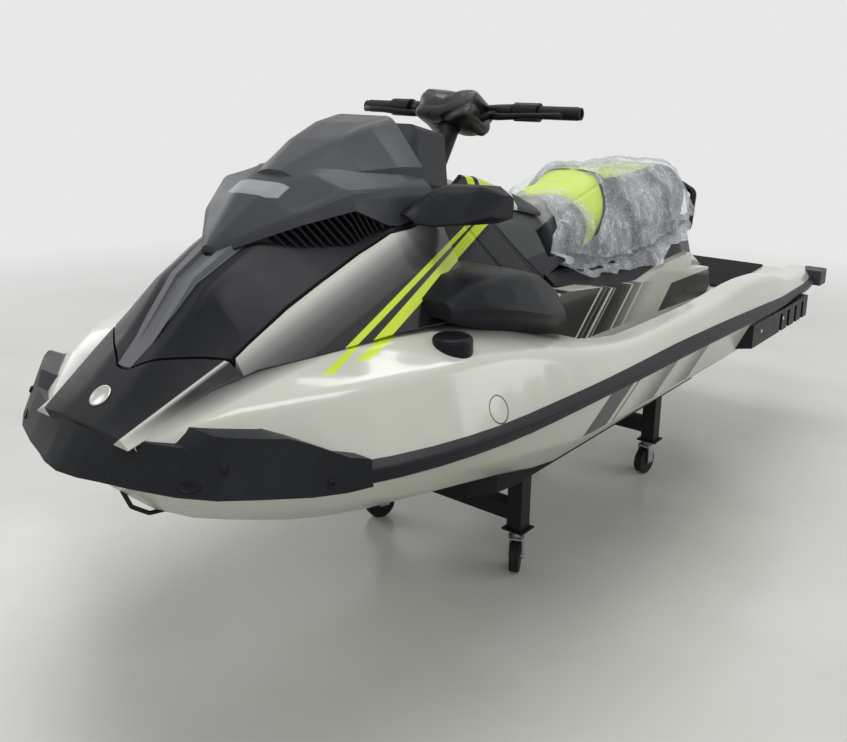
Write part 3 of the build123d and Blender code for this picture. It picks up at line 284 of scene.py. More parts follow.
# station of the bar's front edge at the middle height, its width and its colour
WELL_BARS = [
    (0.340, 0.470, BLACK), (0.052, 0.014, IVORY), (0.010, 0.010, (0.16, 0.16, 0.155)),
    (-0.034, 0.020, IVORY), (-0.068, 0.012, (0.28, 0.28, 0.27)), (-0.205, 0.016, IVORY),
    (-0.290, 0.016, IVORY),
]
WELL_FADE_FRONT, WELL_FADE_REAR = -0.130, -0.460
MAT_SIDE_FRONT, MAT_SIDE_REAR, MAT_SIDE_TOP = -0.585, -1.02, 0.742
WELL_MIDDLE, WELL_LEAN, WELL_SIDE = 0.735, 1.5, 0.345
RING_X, RING_Z, RING_RADIUS, RING_LINE = 0.907, 0.747, 0.031, 0.0035


def slanting_bars(paint, shade, bars, middle, lean, *limits):
    """Bars across a wall, which lean towards the stern as they rise."""
    station = paint.linear(1.0, 0.0, lean, -lean * middle)
    for front, width, colour in bars:
        shade = paint.mix(paint.all(paint.between(station, front - width, front), *limits), shade, colour)
    return shade


def smoked(paint, shade):
    """Dark spray that starts beside the nose's edge and thins out towards the rail."""
    rising = paint.ramp(paint.cut(*SMOKE_INNER), -0.003, -0.012)
    falling = paint.ramp(paint.cut(*SMOKE_OUTER), -0.016, 0.034)
    smoke = paint.all(rising, falling, paint.ramp(paint.x, 1.60, 1.44))
    # sprayed paint covers quickly, then slowly
    thick = paint.math("POWER", smoke, 0.45)
    return paint.mix(thick, shade, (0.030, 0.030, 0.033))


def deck_pattern(paint, shade):
    shade = smoked(paint, shade)
    for stripe, end in zip(DECK_STRIPES, STRIPE_ENDS):
        cut_off = paint.over(paint.math("MULTIPLY", paint.cut(*end), -1.0))
        shade = stripes_between(paint, shade, [stripe], LIME, cut_off, paint.over(paint.math("SUBTRACT", paint.x, 0.98)))
    wall = paint.all(
        paint.between(paint.side, 0.24, WELL_SIDE), paint.over(paint.linear(0.1075, 0, -1, 0.822)),
        paint.over(paint.linear(0, 0, 1, -0.60)),
    )
    station = paint.linear(1.0, 0.0, WELL_LEAN, -WELL_LEAN * WELL_MIDDLE)
    spray = paint.all(paint.ramp(station, WELL_FADE_REAR, WELL_FADE_FRONT), paint.over(paint.math("SUBTRACT", WELL_FADE_FRONT, station)))
    shade = paint.mix(paint.all(spray, wall), shade, (0.02, 0.02, 0.022))
    shade = slanting_bars(paint, shade, WELL_BARS, WELL_MIDDLE, WELL_LEAN, wall)
    mat = paint.all(paint.between(paint.side, 0.24, WELL_SIDE), paint.between(station, MAT_SIDE_REAR, MAT_SIDE_FRONT),
                    paint.over(paint.math("SUBTRACT", MAT_SIDE_TOP, paint.z)))
    shade = paint.mix(mat, shade, BLACK)
    from_ring = paint.math("SQRT", paint.math("ADD",
        paint.math("POWER", paint.math("SUBTRACT", paint.x, RING_X), 2.0),
        paint.math("POWER", paint.math("SUBTRACT", paint.z, RING_Z), 2.0)))
    ring = paint.all(paint.between(from_ring, RING_RADIUS - RING_LINE, RING_RADIUS), paint.over(paint.math("SUBTRACT", paint.side, 0.45)))
    return paint.mix(ring, shade, (0.03, 0.03, 0.032))


# %% Hull: slanting dark bars under the rail, aft, and painted shade towards the keel
HULL_BARS = [
    (0.443, 0.125, (0.012, 0.013, 0.015)), (0.290, 0.012, (0.03, 0.03, 0.032)),
    (0.060, 0.030, (0.09, 0.09, 0.085)), (-0.195, 0.020, (0.07, 0.07, 0.07)),
]
# front and rear station of a sprayed fade that darkens towards the stern
HULL_FADES = [(0.245, 0.030), (-0.010, -0.215)]
HULL_MIDDLE, HULL_LEAN = 0.615, 0.0


def hull_pattern(paint, shade):
    # painted shade: the hull is drawn darker and greener towards the keel, where less light reaches
    shade = paint.mix(paint.ramp(paint.z, 0.62, 0.32), shade, (0.36, 0.37, 0.29))
    wall = paint.all(paint.over(paint.linear(0, 0, 1, -0.540), 0.004), paint.over(paint.linear(0, 1, 0, -0.50)))
    station = paint.linear(1.0, 0.0, 0.35, -0.35 * HULL_MIDDLE)
    for front, rear in HULL_FADES:
        spray = paint.all(paint.ramp(station, front, rear), paint.over(paint.math("SUBTRACT", station, rear)), wall)
        shade = paint.mix(spray, shade, (0.085, 0.086, 0.086))
    return slanting_bars(paint, shade, HULL_BARS, HULL_MIDDLE, 0.35, wall)


def gelcoat(name, pattern=None, gloss=0.35):
    paint = Paint(name)
    shade = paint.mix(paint.noise(2.5), IVORY_LOW, IVORY)
    if pattern:
        shade = pattern(paint, shade)
    rough = paint.math("MULTIPLY_ADD", paint.noise(9.0), 0.06, 0.17)
    return paint.finish(shade, rough, paint.bump(paint.noise(90.0, 2.0), 0.00007), Coat_Weight=gloss, Coat_Roughness=0.05,
                        Specular_IOR_Level=0.4)


# %% [markdown]
# ## Hood, console and rail
# The hood is satin black with a lighter inlay down its middle, edged by a darker line of painted shade for its groove.
# The console's flanks are stepped in the real moulding; here the steps are narrow, so a bump and a darker line of
# painted shade stand for them.

# %% Patterns of the black mouldings
INLAY_FOOT, INLAY_HALF, INLAY_SPREAD = 1.462, 0.024, 0.17
BAND_FRONT, BAND_REAR, BAND_HALF = 1.128, 1.078, 0.085
# two points on the front edge and two on the rear edge of each groove, painted dark as the shade in a step
CONSOLE_GROOVES = [
    ((0.385, 0.170, 1.045), (0.209, 0.182, 0.910), (0.355, 0.170, 1.045), (0.179, 0.182, 0.910)),
    ((0.505, 0.190, 1.030), (0.372, 0.196, 0.925), (0.485, 0.190, 1.030), (0.352, 0.196, 0.925)),
]


def hood_pattern(paint, shade):
    half = paint.linear(-INLAY_SPREAD, -1.0, 0.0, INLAY_FOOT * INLAY_SPREAD + INLAY_HALF)
    inlay = paint.all(paint.over(half), paint.over(paint.math("SUBTRACT", paint.x, 1.15)))
    # painted shade: a darker line along the inlay's edge stands for the shade in its groove
    groove = paint.between(half, -0.006, 0.0)
    shade = paint.mix(groove, shade, BLACK)
    return paint.mix(inlay, shade, (0.13, 0.132, 0.138))


def brow_pattern(paint, shade):
    band = paint.all(paint.between(paint.x, BAND_REAR, BAND_FRONT), paint.over(paint.linear(0, -1, 0, BAND_HALF)),
                     paint.over(paint.math("SUBTRACT", paint.z, 1.19)))
    return paint.mix(band, shade, (0.27, 0.275, 0.285))


def nose_pattern(paint, shade):
    """The panel's side slopes carry on the deck's ivory and its smoke."""
    slope = paint.over(paint.math("MULTIPLY", paint.cut(*SMOKE_INNER), -1.0))
    return paint.mix(slope, shade, smoked(paint, IVORY))


def console_pattern(paint, shade):
    lit = paint.all(paint.over(paint.math("MULTIPLY", paint.cut(*CONSOLE_GROOVES[0][2:]), -1.0)),
                    paint.over(paint.math("SUBTRACT", paint.z, 0.93)))
    shade = paint.mix(lit, shade, (0.050, 0.054, 0.056))
    # painted shade: the grooves are drawn black for the shade in the flank's steps
    shade = stripes_between(paint, shade, CONSOLE_GROOVES, BLACK)
    behind_stripes = paint.over(paint.math("SUBTRACT", paint.cut(*FAIRING_STRIPES[1][2:]), -0.014))
    shade = paint.mix(behind_stripes, shade, BLACK)
    return stripes_between(paint, shade, FAIRING_STRIPES, LIME)


def groove_relief(paint):
    deep = 1.0
    for front_start, front_end, rear_start, rear_end in CONSOLE_GROOVES:
        behind = paint.ramp(paint.cut(front_start, front_end), 0.004, -0.004)
        inside = paint.all(behind, paint.ramp(paint.cut(rear_start, rear_end), -0.004, 0.004))
        deep = paint.math("SUBTRACT", deep, inside)
    return deep


def rail_pattern(paint, shade):
    """Scuffed lighter in patches drawn out lengthwise, where it rubs against piers."""
    return paint.mix(paint.ramp(paint.noise(60.0, 5.0, (0.3, 1, 1)), 0.55, 0.90), shade, (0.022, 0.023, 0.026))


def mat_ribs(paint):
    """Fine lengthwise ribs of a foam traction mat."""
    wave = paint.math("SINE", paint.math("MULTIPLY", paint.y, 2 * math.pi / 0.012))
    return paint.math("MULTIPLY_ADD", wave, 0.5, 0.5)


materials = {
    "hull": gelcoat("hull_gelcoat", hull_pattern, 0.05),
    "deck": gelcoat("deck_gelcoat", deck_pattern),
    "fairing": gelcoat("fairing_film", fairing_pattern),
    "hood": moulded("hood_satin", CHARCOAL, 0.34, pattern=hood_pattern),
    "brow": moulded("brow_satin", SLATE, 0.40, pattern=brow_pattern),
    "screen": moulded("screen_plastic", (0.058, 0.060, 0.066), 0.36),
    "nose": moulded("nose_plastic", CHARCOAL, 0.40, pattern=nose_pattern),
    "console": moulded("console_plastic", (0.020, 0.0215, 0.026), 0.46, pattern=console_pattern, relief=groove_relief),
    "slate": moulded("slate_plastic", (0.045, 0.047, 0.052), 0.46),
    "black": moulded("black_plastic", BLACK, 0.38),
    "pod": moulded("pod_plastic", (0.009, 0.010, 0.013), 0.44),
    "rail": moulded("rail_rubber", (0.011, 0.012, 0.015), 0.42, 300.0, 0.00012, rail_pattern),
    "rubber": moulded("dark_rubber", (0.012, 0.0125, 0.014), 0.58, 400.0, 0.0001),
    "mat": moulded("traction_foam", (0.010, 0.010, 0.011), 0.85, 900.0, 0.0003, relief=mat_ribs),
    "carpet": moulded("bunk_carpet", (0.028, 0.028, 0.032), 0.95, 1500.0, 0.0012),
    "steel": metal("brushed_steel", (0.5, 0.5, 0.49), 0.36),
    "alloy": metal("pump_alloy", (0.36, 0.37, 0.38), 0.5),
    "paint": moulded("cradle_paint", (0.011, 0.011, 0.012), 0.4, 300.0, 0.00008),
    "glass": moulded("dark_glass", (0.004, 0.005, 0.006), 0.06, 100.0, 0.0),
}
print(len(materials), "materials")

# %% [markdown]
# ## Dressing the CAD nodes
# CAD facets are loose triangles with hard edges. Editing them would change the frame, so one
# Geometry Nodes group, used by all, welds a node's facets and shades its gentle bends smooth.

# %% Dress every node
SMOOTH_ANGLE = math.radians(32)
WELD = 0.00005


def smoother():
    group = bpy.data.node_groups.new("smooth_form", "GeometryNodeTree")
    group.interface.new_socket("Geometry", in_out="INPUT", socket_type="NodeSocketGeometry")
    group.interface.new_socket("Geometry", in_out="OUTPUT", socket_type="NodeSocketGeometry")
    made = group.nodes.new
    enter, leave = made("NodeGroupInput"), made("NodeGroupOutput")
    weld, compare = made("GeometryNodeMergeByDistance"), made("FunctionNodeCompare")
    angle = made("GeometryNodeInputMeshEdgeAngle")
    sharp, smooth = made("GeometryNodeSetShadeSmooth"), made("GeometryNodeSetShadeSmooth")
    sharp.domain, smooth.domain = "EDGE", "FACE"
    weld.inputs["Distance"].default_value = WELD
    compare.data_type, compare.operation = "FLOAT", "LESS_EQUAL"
    compare.inputs["B"].default_value = SMOOTH_ANGLE
    link = group.links.new
    link(enter.outputs[0], weld.inputs["Geometry"])
    link(weld.outputs[0], smooth.inputs["Geometry"])
    link(smooth.outputs[0], sharp.inputs["Geometry"])
    link(angle.outputs["Unsigned Angle"], compare.inputs["A"])
    link(compare.outputs[0], sharp.inputs["Shade Smooth"])
    link(sharp.outputs[0], leave.inputs[0])
    return group


smooth_form = smoother()
DRESS = {
    "hull": ["hull"], "deck": ["deck"], "fairing": ["side_fairings"], "hood": ["hood_panel"],
    "brow": ["hood_brow"], "screen": ["windscreen"], "nose": ["nose_panel"],
    "console": ["steering_console"], "glass": ["display", "mirror_glass"],
    "pod": ["side_pods", "mirrors"], "slate": ["stern_bumpers", "instrument_housing"],
    "black": ["seat_pedestal", "glovebox_lid", "steering_column", "bar_controls", "fuel_cap", "grab_handle",
              "sponsons", "vent_grilles", "storage_tub", "bar_pad", "handlebar"],
    "rail": ["rub_rail", "bow_bumper"], "rubber": ["grips"], "mat": ["deck_mats"],
    "steel": ["stern_eyes", "impeller"],
    "alloy": ["jet_pump", "nozzle", "reverse_bucket", "ride_plate", "intake_grate", "engine_block"],
    "carpet": ["cradle_bunks"], "paint": ["cradle_posts", "cradle_crossbeams", "bow_eye"],
}
of_node = {name: key for key, names in DRESS.items() for name in names}
for name, node in nodes.items():
    key = of_node.get(name) or ("steel" if "fork" in name else "rubber")
    node.data.materials.clear()
    node.data.materials.append(materials[key])
    node.modifiers.new("smooth_form", "NODES").node_group = smooth_form
print(len(nodes), "nodes dressed")

# %% [markdown]
# ## Tools for making pieces
# Each piece is plain mesh data with its place in its points, so its object stays at the origin.
# Doubles are merged and the faces turned outwards before it gets its material and its body.

# %% Piece maker
def piece(name, points, faces, material, body, smooth=True, loose=False):
    mesh = bpy.data.meshes.new(name)
    mesh.from_pydata([tuple(p) for p in points], [], faces)
    form = bmesh.new()
    form.from_mesh(mesh)
    bmesh.ops.remove_doubles(form, verts=form.verts, dist=WELD)
    bmesh.ops.recalc_face_normals(form, faces=form.faces)
    form.to_mesh(mesh)
    form.free()
    mesh.polygons.foreach_set("use_smooth", [smooth] * len(mesh.polygons))
    mesh.materials.append(material)
    made = bpy.data.objects.new(name, mesh)
    scene.collection.objects.link(made)
    if not loose:
        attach(made, body)
    return made


def settled(made, name=None):
    """A plain-mesh copy of an object with its modifiers applied; the first one goes."""
    mesh = bpy.data.meshes.new_from_object(made.evaluated_get(bpy.context.evaluated_depsgraph_get()))
    name = name or made.name
    bpy.data.objects.remove(made)
    mesh.name = name
    kept = bpy.data.objects.new(name, mesh)
    scene.collection.objects.link(kept)
    return kept


def node_points(*names):
    """Points and triangles of CAD nodes, merged into one list."""
    points, faces = [], []
    for name in names:
        mesh, first = nodes[name].data, len(points)
        points += [v.co.copy() for v in mesh.vertices]
        faces += [[first + i for i in f.vertices] for f in mesh.polygons]
    return points, faces


def skin_of(*names):
    """A tree that answers where a ray meets these nodes."""
    return BVHTree.FromPolygons(*node_points(*names))


def loft(rings, closed=True):
    """Points and quads between rings of equal length, capped at both ends."""
    size = len(rings[0])
    points = [p for ring in rings for p in ring]
    faces = []
    for row in range(len(rings) - 1):
        for i in range(size if closed else size - 1):
            a, b = row * size + i, row * size + (i + 1) % size
            faces.append((a, b, b + size, a + size))
    if closed:
        faces += [tuple(range(size - 1, -1, -1)), tuple(range(len(points) - size, len(points)))]
    return points, faces


def ring_round(centre, along, radius, sides=16, flat=1.0):
    """A circle's points round a centre, square to a direction."""
    along = Vector(along).normalized()
    across = along.cross(Vector((0, 0, 1)))
    across = across.normalized() if across.length > 0.01 else Vector((1, 0, 0))
    lift = across.cross(along)
    turns = [2 * math.pi * i / sides for i in range(sides)]
    return [Vector(centre) + across * radius * math.cos(t) + lift * radius * flat * math.sin(t) for t in turns]


# %% [markdown]
# ## Seat
# The seat is foam under sewn vinyl: it bulges between its seams and is drawn in along them. It
# could be sculpted by hand, but a short cloth simulation finds that bulge by itself. The CAD
# cushion is remeshed into even faces, blown up a little, held back to a few millimetres, and
# then drawn in along the seams, which a simulation would smooth away.

# %% Stuffing a cushion
VOXEL = 0.008
PUFF_PRESSURE, PUFF_FRAMES = 4.0, 20


def even_copy(name, sources, voxel):
    """CAD nodes as one evenly divided closed skin."""
    points, faces = node_points(*sources)
    raw = piece(name, points, faces, materials["black"], "craft", loose=True)
    remesh = raw.modifiers.new("even", "REMESH")
    remesh.mode, remesh.voxel_size = "VOXEL", voxel
    ease = raw.modifiers.new("ease", "SMOOTH")
    ease.factor, ease.iterations = 0.5, 6
    return settled(raw)


def stuffed(made, cap, low):
    """Blow a skin up with cloth; what lies below a height is pinned, and no point moves past cap."""
    start = [v.co.copy() for v in made.data.vertices]
    pinned = made.vertex_groups.new(name="pinned")
    pinned.add([v.index for v in made.data.vertices if v.co.z < low], 1.0, "REPLACE")
    cloth = made.modifiers.new("cloth", "CLOTH")
    cloth.settings.use_pressure = True
    cloth.settings.uniform_pressure_force = PUFF_PRESSURE
    cloth.settings.vertex_group_mass = "pinned"
    cloth.settings.effector_weights.gravity = 0.0
    for step in range(1, PUFF_FRAMES + 1):
        scene.frame_set(step)
    blown = made.evaluated_get(bpy.context.evaluated_depsgraph_get()).to_mesh()
    moved = [v.co.copy() for v in blown.vertices]
    made.modifiers.remove(cloth)
    scene.frame_set(1)
    for vertex, first, last in zip(made.data.vertices, start, moved):
        shift = last - first
        vertex.co = first + (shift if shift.length < cap else shift.normalized() * cap)
    return made


# %% Seat cover: charcoal vinyl with a lime crescent and a lime rear panel
# How far the crescent's front and rear edges lie along the seat, by the distance round from
# its middle line: cubics, highest power first
CRESCENT_FRONT = (4.1613, -0.4482, -0.6247, -0.0876)
CRESCENT_REAR = (5.8018, -1.6222, 0.3021, -0.3776)
CRESCENT_REACH = 0.345
# The crown's height along the seat: a station and height, then the slope behind and its limit
CROWN_X, CROWN_Z, CROWN_SLOPE, CROWN_TOP = -0.09, 1.079, -0.24, 1.142
REAR_PANEL_FRONT, REAR_PANEL_REAR, REAR_PANEL_HALF, REAR_PANEL_TAPER = -0.379, -0.87, 0.140, 0.09
SEAM_HALF, SEAM_DEEP = 0.0055, 0.0035


def crescent_mask(paint, drawn_in=0.0):
    """The crescent's area, and the distance round from the seat's middle line."""
    crown = paint.math("MINIMUM", paint.linear(CROWN_SLOPE, 0, 0, CROWN_Z - CROWN_SLOPE * CROWN_X), CROWN_TOP)
    round_way = paint.math("ADD", paint.side, paint.math("MAXIMUM", paint.math("SUBTRACT", crown, paint.z), 0.0))
    behind = paint.over(paint.math("SUBTRACT", paint.cubic(round_way, CRESCENT_FRONT), paint.x), 0.0012)
    ahead = paint.over(paint.math("SUBTRACT", paint.x, paint.cubic(round_way, CRESCENT_REAR[:-1] + (CRESCENT_REAR[-1] + drawn_in,))), 0.0012)
    return paint.all(behind, ahead, paint.over(paint.math("SUBTRACT", CRESCENT_REACH, round_way))), round_way


def cover_pattern(paint, shade):
    crescent, round_way = crescent_mask(paint)
    half = paint.linear(REAR_PANEL_TAPER, 0, 0, REAR_PANEL_HALF - REAR_PANEL_TAPER * REAR_PANEL_FRONT)
    rear = paint.all(paint.over(paint.math("SUBTRACT", half, round_way), 0.0012),
                     paint.between(paint.x, REAR_PANEL_REAR, REAR_PANEL_FRONT, 0.0012))
    top = paint.all(paint.over(paint.math("SUBTRACT", 0.155, round_way), 0.0012), paint.over(paint.math("SUBTRACT", paint.x, -0.37)))
    shade = paint.mix(top, shade, (0.36, 0.36, 0.35))
    return paint.mix(paint.math("MAXIMUM", crescent, rear), shade, (0.56, 0.70, 0.10))


def round_way(co):
    crown = min(CROWN_Z + CROWN_SLOPE * (co.x - CROWN_X), CROWN_TOP)
    return abs(co.y) + max(crown - co.z, 0.0)


def cubic(value, curve):
    total = 0.0
    for part in curve:
        total = total * value + part
    return total


def from_seam(co):
    """Distance to the nearest sewn seam of the cover, metres."""
    around = round_way(co)
    gaps = [1.0]
    if around < CRESCENT_REACH:
        gaps += [abs(co.x - cubic(around, CRESCENT_FRONT)), abs(co.x - cubic(around, CRESCENT_REAR))]
    half = REAR_PANEL_HALF + REAR_PANEL_TAPER * (co.x - REAR_PANEL_FRONT)
    if REAR_PANEL_REAR < co.x < REAR_PANEL_FRONT:
        gaps.append(abs(around - half))
    if co.x > -0.36:
        gaps.append(abs(around - 0.155))
    return min(gaps)


def sewn(made, depth=SEAM_DEEP):
    """Draw a skin in along its seams."""
    normals = [v.normal.copy() for v in made.data.vertices]
    for vertex, normal in zip(made.data.vertices, normals):
        gap = from_seam(vertex.co)
        vertex.co -= normal * depth * math.exp(-((gap / SEAM_HALF) ** 2))
    made.data.update()


def vinyl(name, pattern):
    paint = Paint(name)
    shade = pattern(paint, paint.mix(paint.noise(8.0), (0.030, 0.031, 0.034), (0.042, 0.043, 0.047)))
    leather = paint.bump(paint.cells(420.0), 0.0003)
    wrinkled = paint.bump(paint.noise(22.0, 4.0), 0.0015, leather)
    return paint.finish(shade, paint.math("MULTIPLY_ADD", paint.noise(14.0), 0.15, 0.42), wrinkled)


materials["seat"] = vinyl("seat_vinyl", cover_pattern)
CUSHIONS = [("seat_front_pad", "seat_cushion_front"), ("seat_rear_pad", "seat_cushion_rear")]
SEAT_PINNED_BELOW, SEAT_CAP = 0.93, 0.006
pads = []
for name, source in CUSHIONS:
    pad = even_copy(name, [source], VOXEL)
    stuffed(pad, SEAT_CAP, SEAT_PINNED_BELOW)
    round_off = pad.modifiers.new("fine", "SUBSURF")
    round_off.levels = round_off.render_levels = 1
    pad = settled(pad)
    sewn(pad)
    pad.data.materials.clear()
    pad.data.materials.append(materials["seat"])
    pad.data.polygons.foreach_set("use_smooth", [True] * len(pad.data.polygons))
    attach(pad, "seat")
    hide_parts(source)
    pads.append(pad)
    print(name, len(pad.data.polygons), "faces")

# %% [markdown]
# ## Film over the seat
# A thin crumpled sheet still covers most of the new seat. It is one surface that follows the
# cushions from above, hangs down their sides and ends in an uneven hem. It is laid as a grid: each row is
# found by rays shot at the cushions, then pushed out by hanging folds and by sharp crumples.

# %% Film
FILM_FRONT, FILM_REAR, FILM_ROWS, FILM_STEPS = -0.060, -0.945, 220, 180
# how far the front edge runs forward at the hem, over the console's tail
FILM_LEAD, FILM_LEAD_FROM = 0.085, math.radians(58)
FILM_OFF, FILM_TURN = 0.004, math.radians(112)
FILM_AXIS_Z = 0.93
# station, height of the hem
FILM_HEM = [
    (0.03, 0.905), (-0.07, 0.852), (-0.15, 0.842), (-0.21, 0.824), (-0.33, 0.806), (-0.42, 0.822),
    (-0.50, 0.828), (-0.57, 0.868), (-0.63, 0.886), (-0.72, 0.895), (-0.80, 0.925), (-0.96, 0.960),
]


def along_table(table, value):
    rows = sorted(table)
    value = min(max(value, rows[0][0]), rows[-1][0])
    for (x0, z0), (x1, z1) in zip(rows, rows[1:]):
        if value <= x1:
            return z0 + (z1 - z0) * (value - x0) / (x1 - x0)
    return rows[-1][1]


def crumple(point):
    """Sharp ridges where a stretched noise crosses nought, at three sizes."""
    hung = Vector((point.x, point.y, point.z * 0.55))
    total = 0.0
    for scale, height in ((7.0, 0.014), (15.0, 0.008), (37.0, 0.003)):
        total += height * (1.0 - min(1.0, 2.2 * abs(noise.noise(hung * scale + Vector((scale, 3, 1))))))
    return total


seat_skin = skin_of("seat_cushion_front", "seat_cushion_rear", "seat_film", "steering_console", "seat_pedestal")
grid = []
for row in range(FILM_ROWS + 1):
    line = []
    for step in range(FILM_STEPS + 1):
        angle = FILM_TURN * (2 * step / FILM_STEPS - 1)
        lead = FILM_LEAD * max(0.0, (abs(angle) - FILM_LEAD_FROM) / (FILM_TURN - FILM_LEAD_FROM))
        ragged = 0.008 * noise.noise(Vector((angle * 5, 4, 9)))
        x = FILM_FRONT + lead + ragged + (FILM_REAR - FILM_FRONT - lead) * row / FILM_ROWS
        out_way = Vector((0, math.sin(angle), math.cos(angle)))
        axis = Vector((x, 0, FILM_AXIS_Z))
        hit = seat_skin.ray_cast(axis + out_way * 0.6, -out_way, 0.6)[0]
        point = hit if hit else axis + out_way * 0.12
        hem = along_table(FILM_HEM, x) + 0.010 * noise.noise(Vector((x * 14, 1 if angle > 0 else 5, 0)))
        low = point.z < hem
        if low:
            point = Vector((x, point.y, hem))
        hang = max(0.0, min(1.0, (1.03 - point.z) / 0.17))
        fold = 0.5 + 0.5 * math.sin(x * 46 + 4.5 * noise.noise(Vector((x * 5, point.z * 4, 2))) + point.z * 22)
        push = FILM_OFF + crumple(point) + hang * 0.016 * fold
        line.append(point + out_way * push)
    grid.append(line)
points, faces = loft(grid, closed=False)
faces = [f for f in faces if (Vector(points[f[0]]) - Vector(points[f[2]])).length < 0.12]


# the film's cut edge covers the cover's colour change by this much
FILM_OVERLAP = 0.014


def film_material():
    paint = Paint("protective_film")

    def strands(scale, stretch, width):
        """Thin pale lines of painted highlight where a stretched noise passes its middle."""
        drawn = paint.noise(scale, 3.0, stretch)
        return paint.ramp(paint.math("ABSOLUTE", paint.math("SUBTRACT", drawn, 0.5)), width, 0.0)

    hanging = strands(26.0, (1.0, 0.6, 0.28), 0.022)
    leaning = strands(34.0, (0.35, 1.0, 0.9), 0.020)
    fine = strands(75.0, (1.0, 1.0, 0.6), 0.030)
    # painted highlight: pale, more opaque lines stand for light caught along the film's crumples
    crease_highlight = paint.math("MAXIMUM", hanging, paint.math("MAXIMUM", paint.math("MULTIPLY", leaning, 0.8),
                                                       paint.math("MULTIPLY", fine, 0.35)))
    haze = paint.ramp(paint.noise(9.0, 6.0, (1, 1, 0.4)), 0.34, 0.68)
    cloud = paint.math("ADD", paint.math("MULTIPLY", haze, 0.34), paint.math("MULTIPLY", crease_highlight, 0.17))
    bare = paint.math("MULTIPLY_ADD", crescent_mask(paint, FILM_OVERLAP)[0], -0.88, 1.0)
    paint.put(paint.shader.inputs["Alpha"], paint.math("MULTIPLY", paint.math("ADD", cloud, 0.26), bare))
    shade = paint.mix(crease_highlight, (0.50, 0.52, 0.55), (0.72, 0.74, 0.76))
    wrinkled = paint.bump(paint.noise(60.0, 5.0), 0.002, paint.bump(paint.noise(20.0, 5.0, (1, 1, 0.5)), 0.009))
    return paint.finish(shade, paint.math("MULTIPLY_ADD", paint.noise(30.0), 0.1, 0.2), wrinkled)


materials["film"] = film_material()
film = piece("seat_cover_film", points, faces, materials["film"], "seat")
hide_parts("seat_film")

# %% [markdown]
# ## Growing what repeats
# Screws, stitches and grip ribs repeat one small item along points or a line. Geometry Nodes
# place them by rule, so their spacing is one number. The result is turned into plain mesh,
# because an exported model keeps no instances.

# %% Tree builder
class Tree:
    """One Geometry Nodes tree with named inputs."""

    def __init__(self, name, **sizes):
        self.group = bpy.data.node_groups.new(name, "GeometryNodeTree")
        sockets = self.group.interface
        sockets.new_socket("Geometry", in_out="INPUT", socket_type="NodeSocketGeometry")
        for label in sizes:
            sockets.new_socket(label, in_out="INPUT", socket_type=sizes[label])
        sockets.new_socket("Geometry", in_out="OUTPUT", socket_type="NodeSocketGeometry")
        self.enter, self.leave = self.add("NodeGroupInput"), self.add("NodeGroupOutput")

    def add(self, kind, **inputs):
        node = self.group.nodes.new(kind)
        for key, value in inputs.items():
            self.put(node.inputs[key.replace("_", " ")], value)
        return node

    def put(self, socket, value):
        if isinstance(value, bpy.types.NodeSocket):
            self.group.links.new(value, socket)
        else:
            socket.default_value = value

    def close(self, shape):
        """Realize the instances, give them the material and end the tree."""
        real = self.add("GeometryNodeRealizeInstances", Geometry=shape)
        coloured = self.add("GeometryNodeSetMaterial", Geometry=real.outputs[0], Material=self.enter.outputs["Material"])
        self.put(self.leave.inputs[0], coloured.outputs[0])
        return self.group


def grown(name, group, base, body, **values):
    """Grow a tree's pieces on a base object and keep them as one plain mesh."""
    grower = base.modifiers.new("grow", "NODES")
    grower.node_group = group
    for item in group.interface.items_tree:
        if item.item_type == "SOCKET" and item.in_out == "INPUT" and item.name in values:
            grower[item.identifier] = values[item.name]
    made = settled(base, name)
    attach(made, body)
    print(name, len(made.data.polygons), "faces")
    return made


def points_with_aim(name, places):
    """A mesh of bare points, each with the way that it faces."""
    mesh = bpy.data.meshes.new(name)
    mesh.from_pydata([tuple(place) for place, aim in places], [], [])
    aims = mesh.attributes.new("aim", "FLOAT_VECTOR", "POINT")
    for i, (place, aim) in enumerate(places):
        aims.data[i].vector = aim
    made = bpy.data.objects.new(name, mesh)
    scene.collection.objects.link(made)
    return made


# %% [markdown]
# ## Screws
# Button-head screws hold the bumper, the sponsons and the casters; the pump's screws are not made. The head is turned
# as a profile with a hexagonal socket, then placed on the surfaces where a ray meets them.

# %% Screw head and its tree
HEAD_SIDES = 24
# radius and height of the head's rim, shoulder and crown, as shares of its radius
HEAD_PROFILE = [(1.0, 0.0), (1.0, 0.10), (0.92, 0.30), (0.72, 0.46), (0.46, 0.52)]
SOCKET_DEEP = 0.16


def screw_head():
    rings = [[Vector((r * math.cos(2 * math.pi * i / HEAD_SIDES), r * math.sin(2 * math.pi * i / HEAD_SIDES), h))
              for i in range(HEAD_SIDES)] for r, h in HEAD_PROFILE]
    rim, top = rings[-1], HEAD_PROFILE[-1][1]
    for depth in (top, SOCKET_DEEP):
        ring = []
        for i in range(HEAD_SIDES):
            turn_by = 2 * math.pi * i / HEAD_SIDES
            flat = 0.36 / math.cos((turn_by % (math.pi / 3)) - math.pi / 6) * math.cos(math.pi / 6)
            ring.append(Vector((flat * math.cos(turn_by), flat * math.sin(turn_by), depth)))
        rings.append(ring)
    points, faces = loft(rings)
    return piece("screw_head", points, faces, materials["steel"], "craft", smooth=False, loose=True)


def screw_tree(head):
    tree = Tree("screw_rows", Radius="NodeSocketFloat", Material="NodeSocketMaterial")
    item = tree.add("GeometryNodeObjectInfo", Object=head)
    aim = tree.add("GeometryNodeInputNamedAttribute", Name="aim")
    aim.data_type = "FLOAT_VECTOR"
    turned = tree.add("FunctionNodeAlignRotationToVector", Vector=aim.outputs[0])
    turned.axis = "Z"
    placed = tree.add("GeometryNodeInstanceOnPoints", Points=tree.enter.outputs["Geometry"],
                      Instance=item.outputs["Geometry"], Rotation=turned.outputs[0],
                      Scale=tree.enter.outputs["Radius"])
    return tree.close(placed.outputs[0])


screws = screw_tree(screw_head())
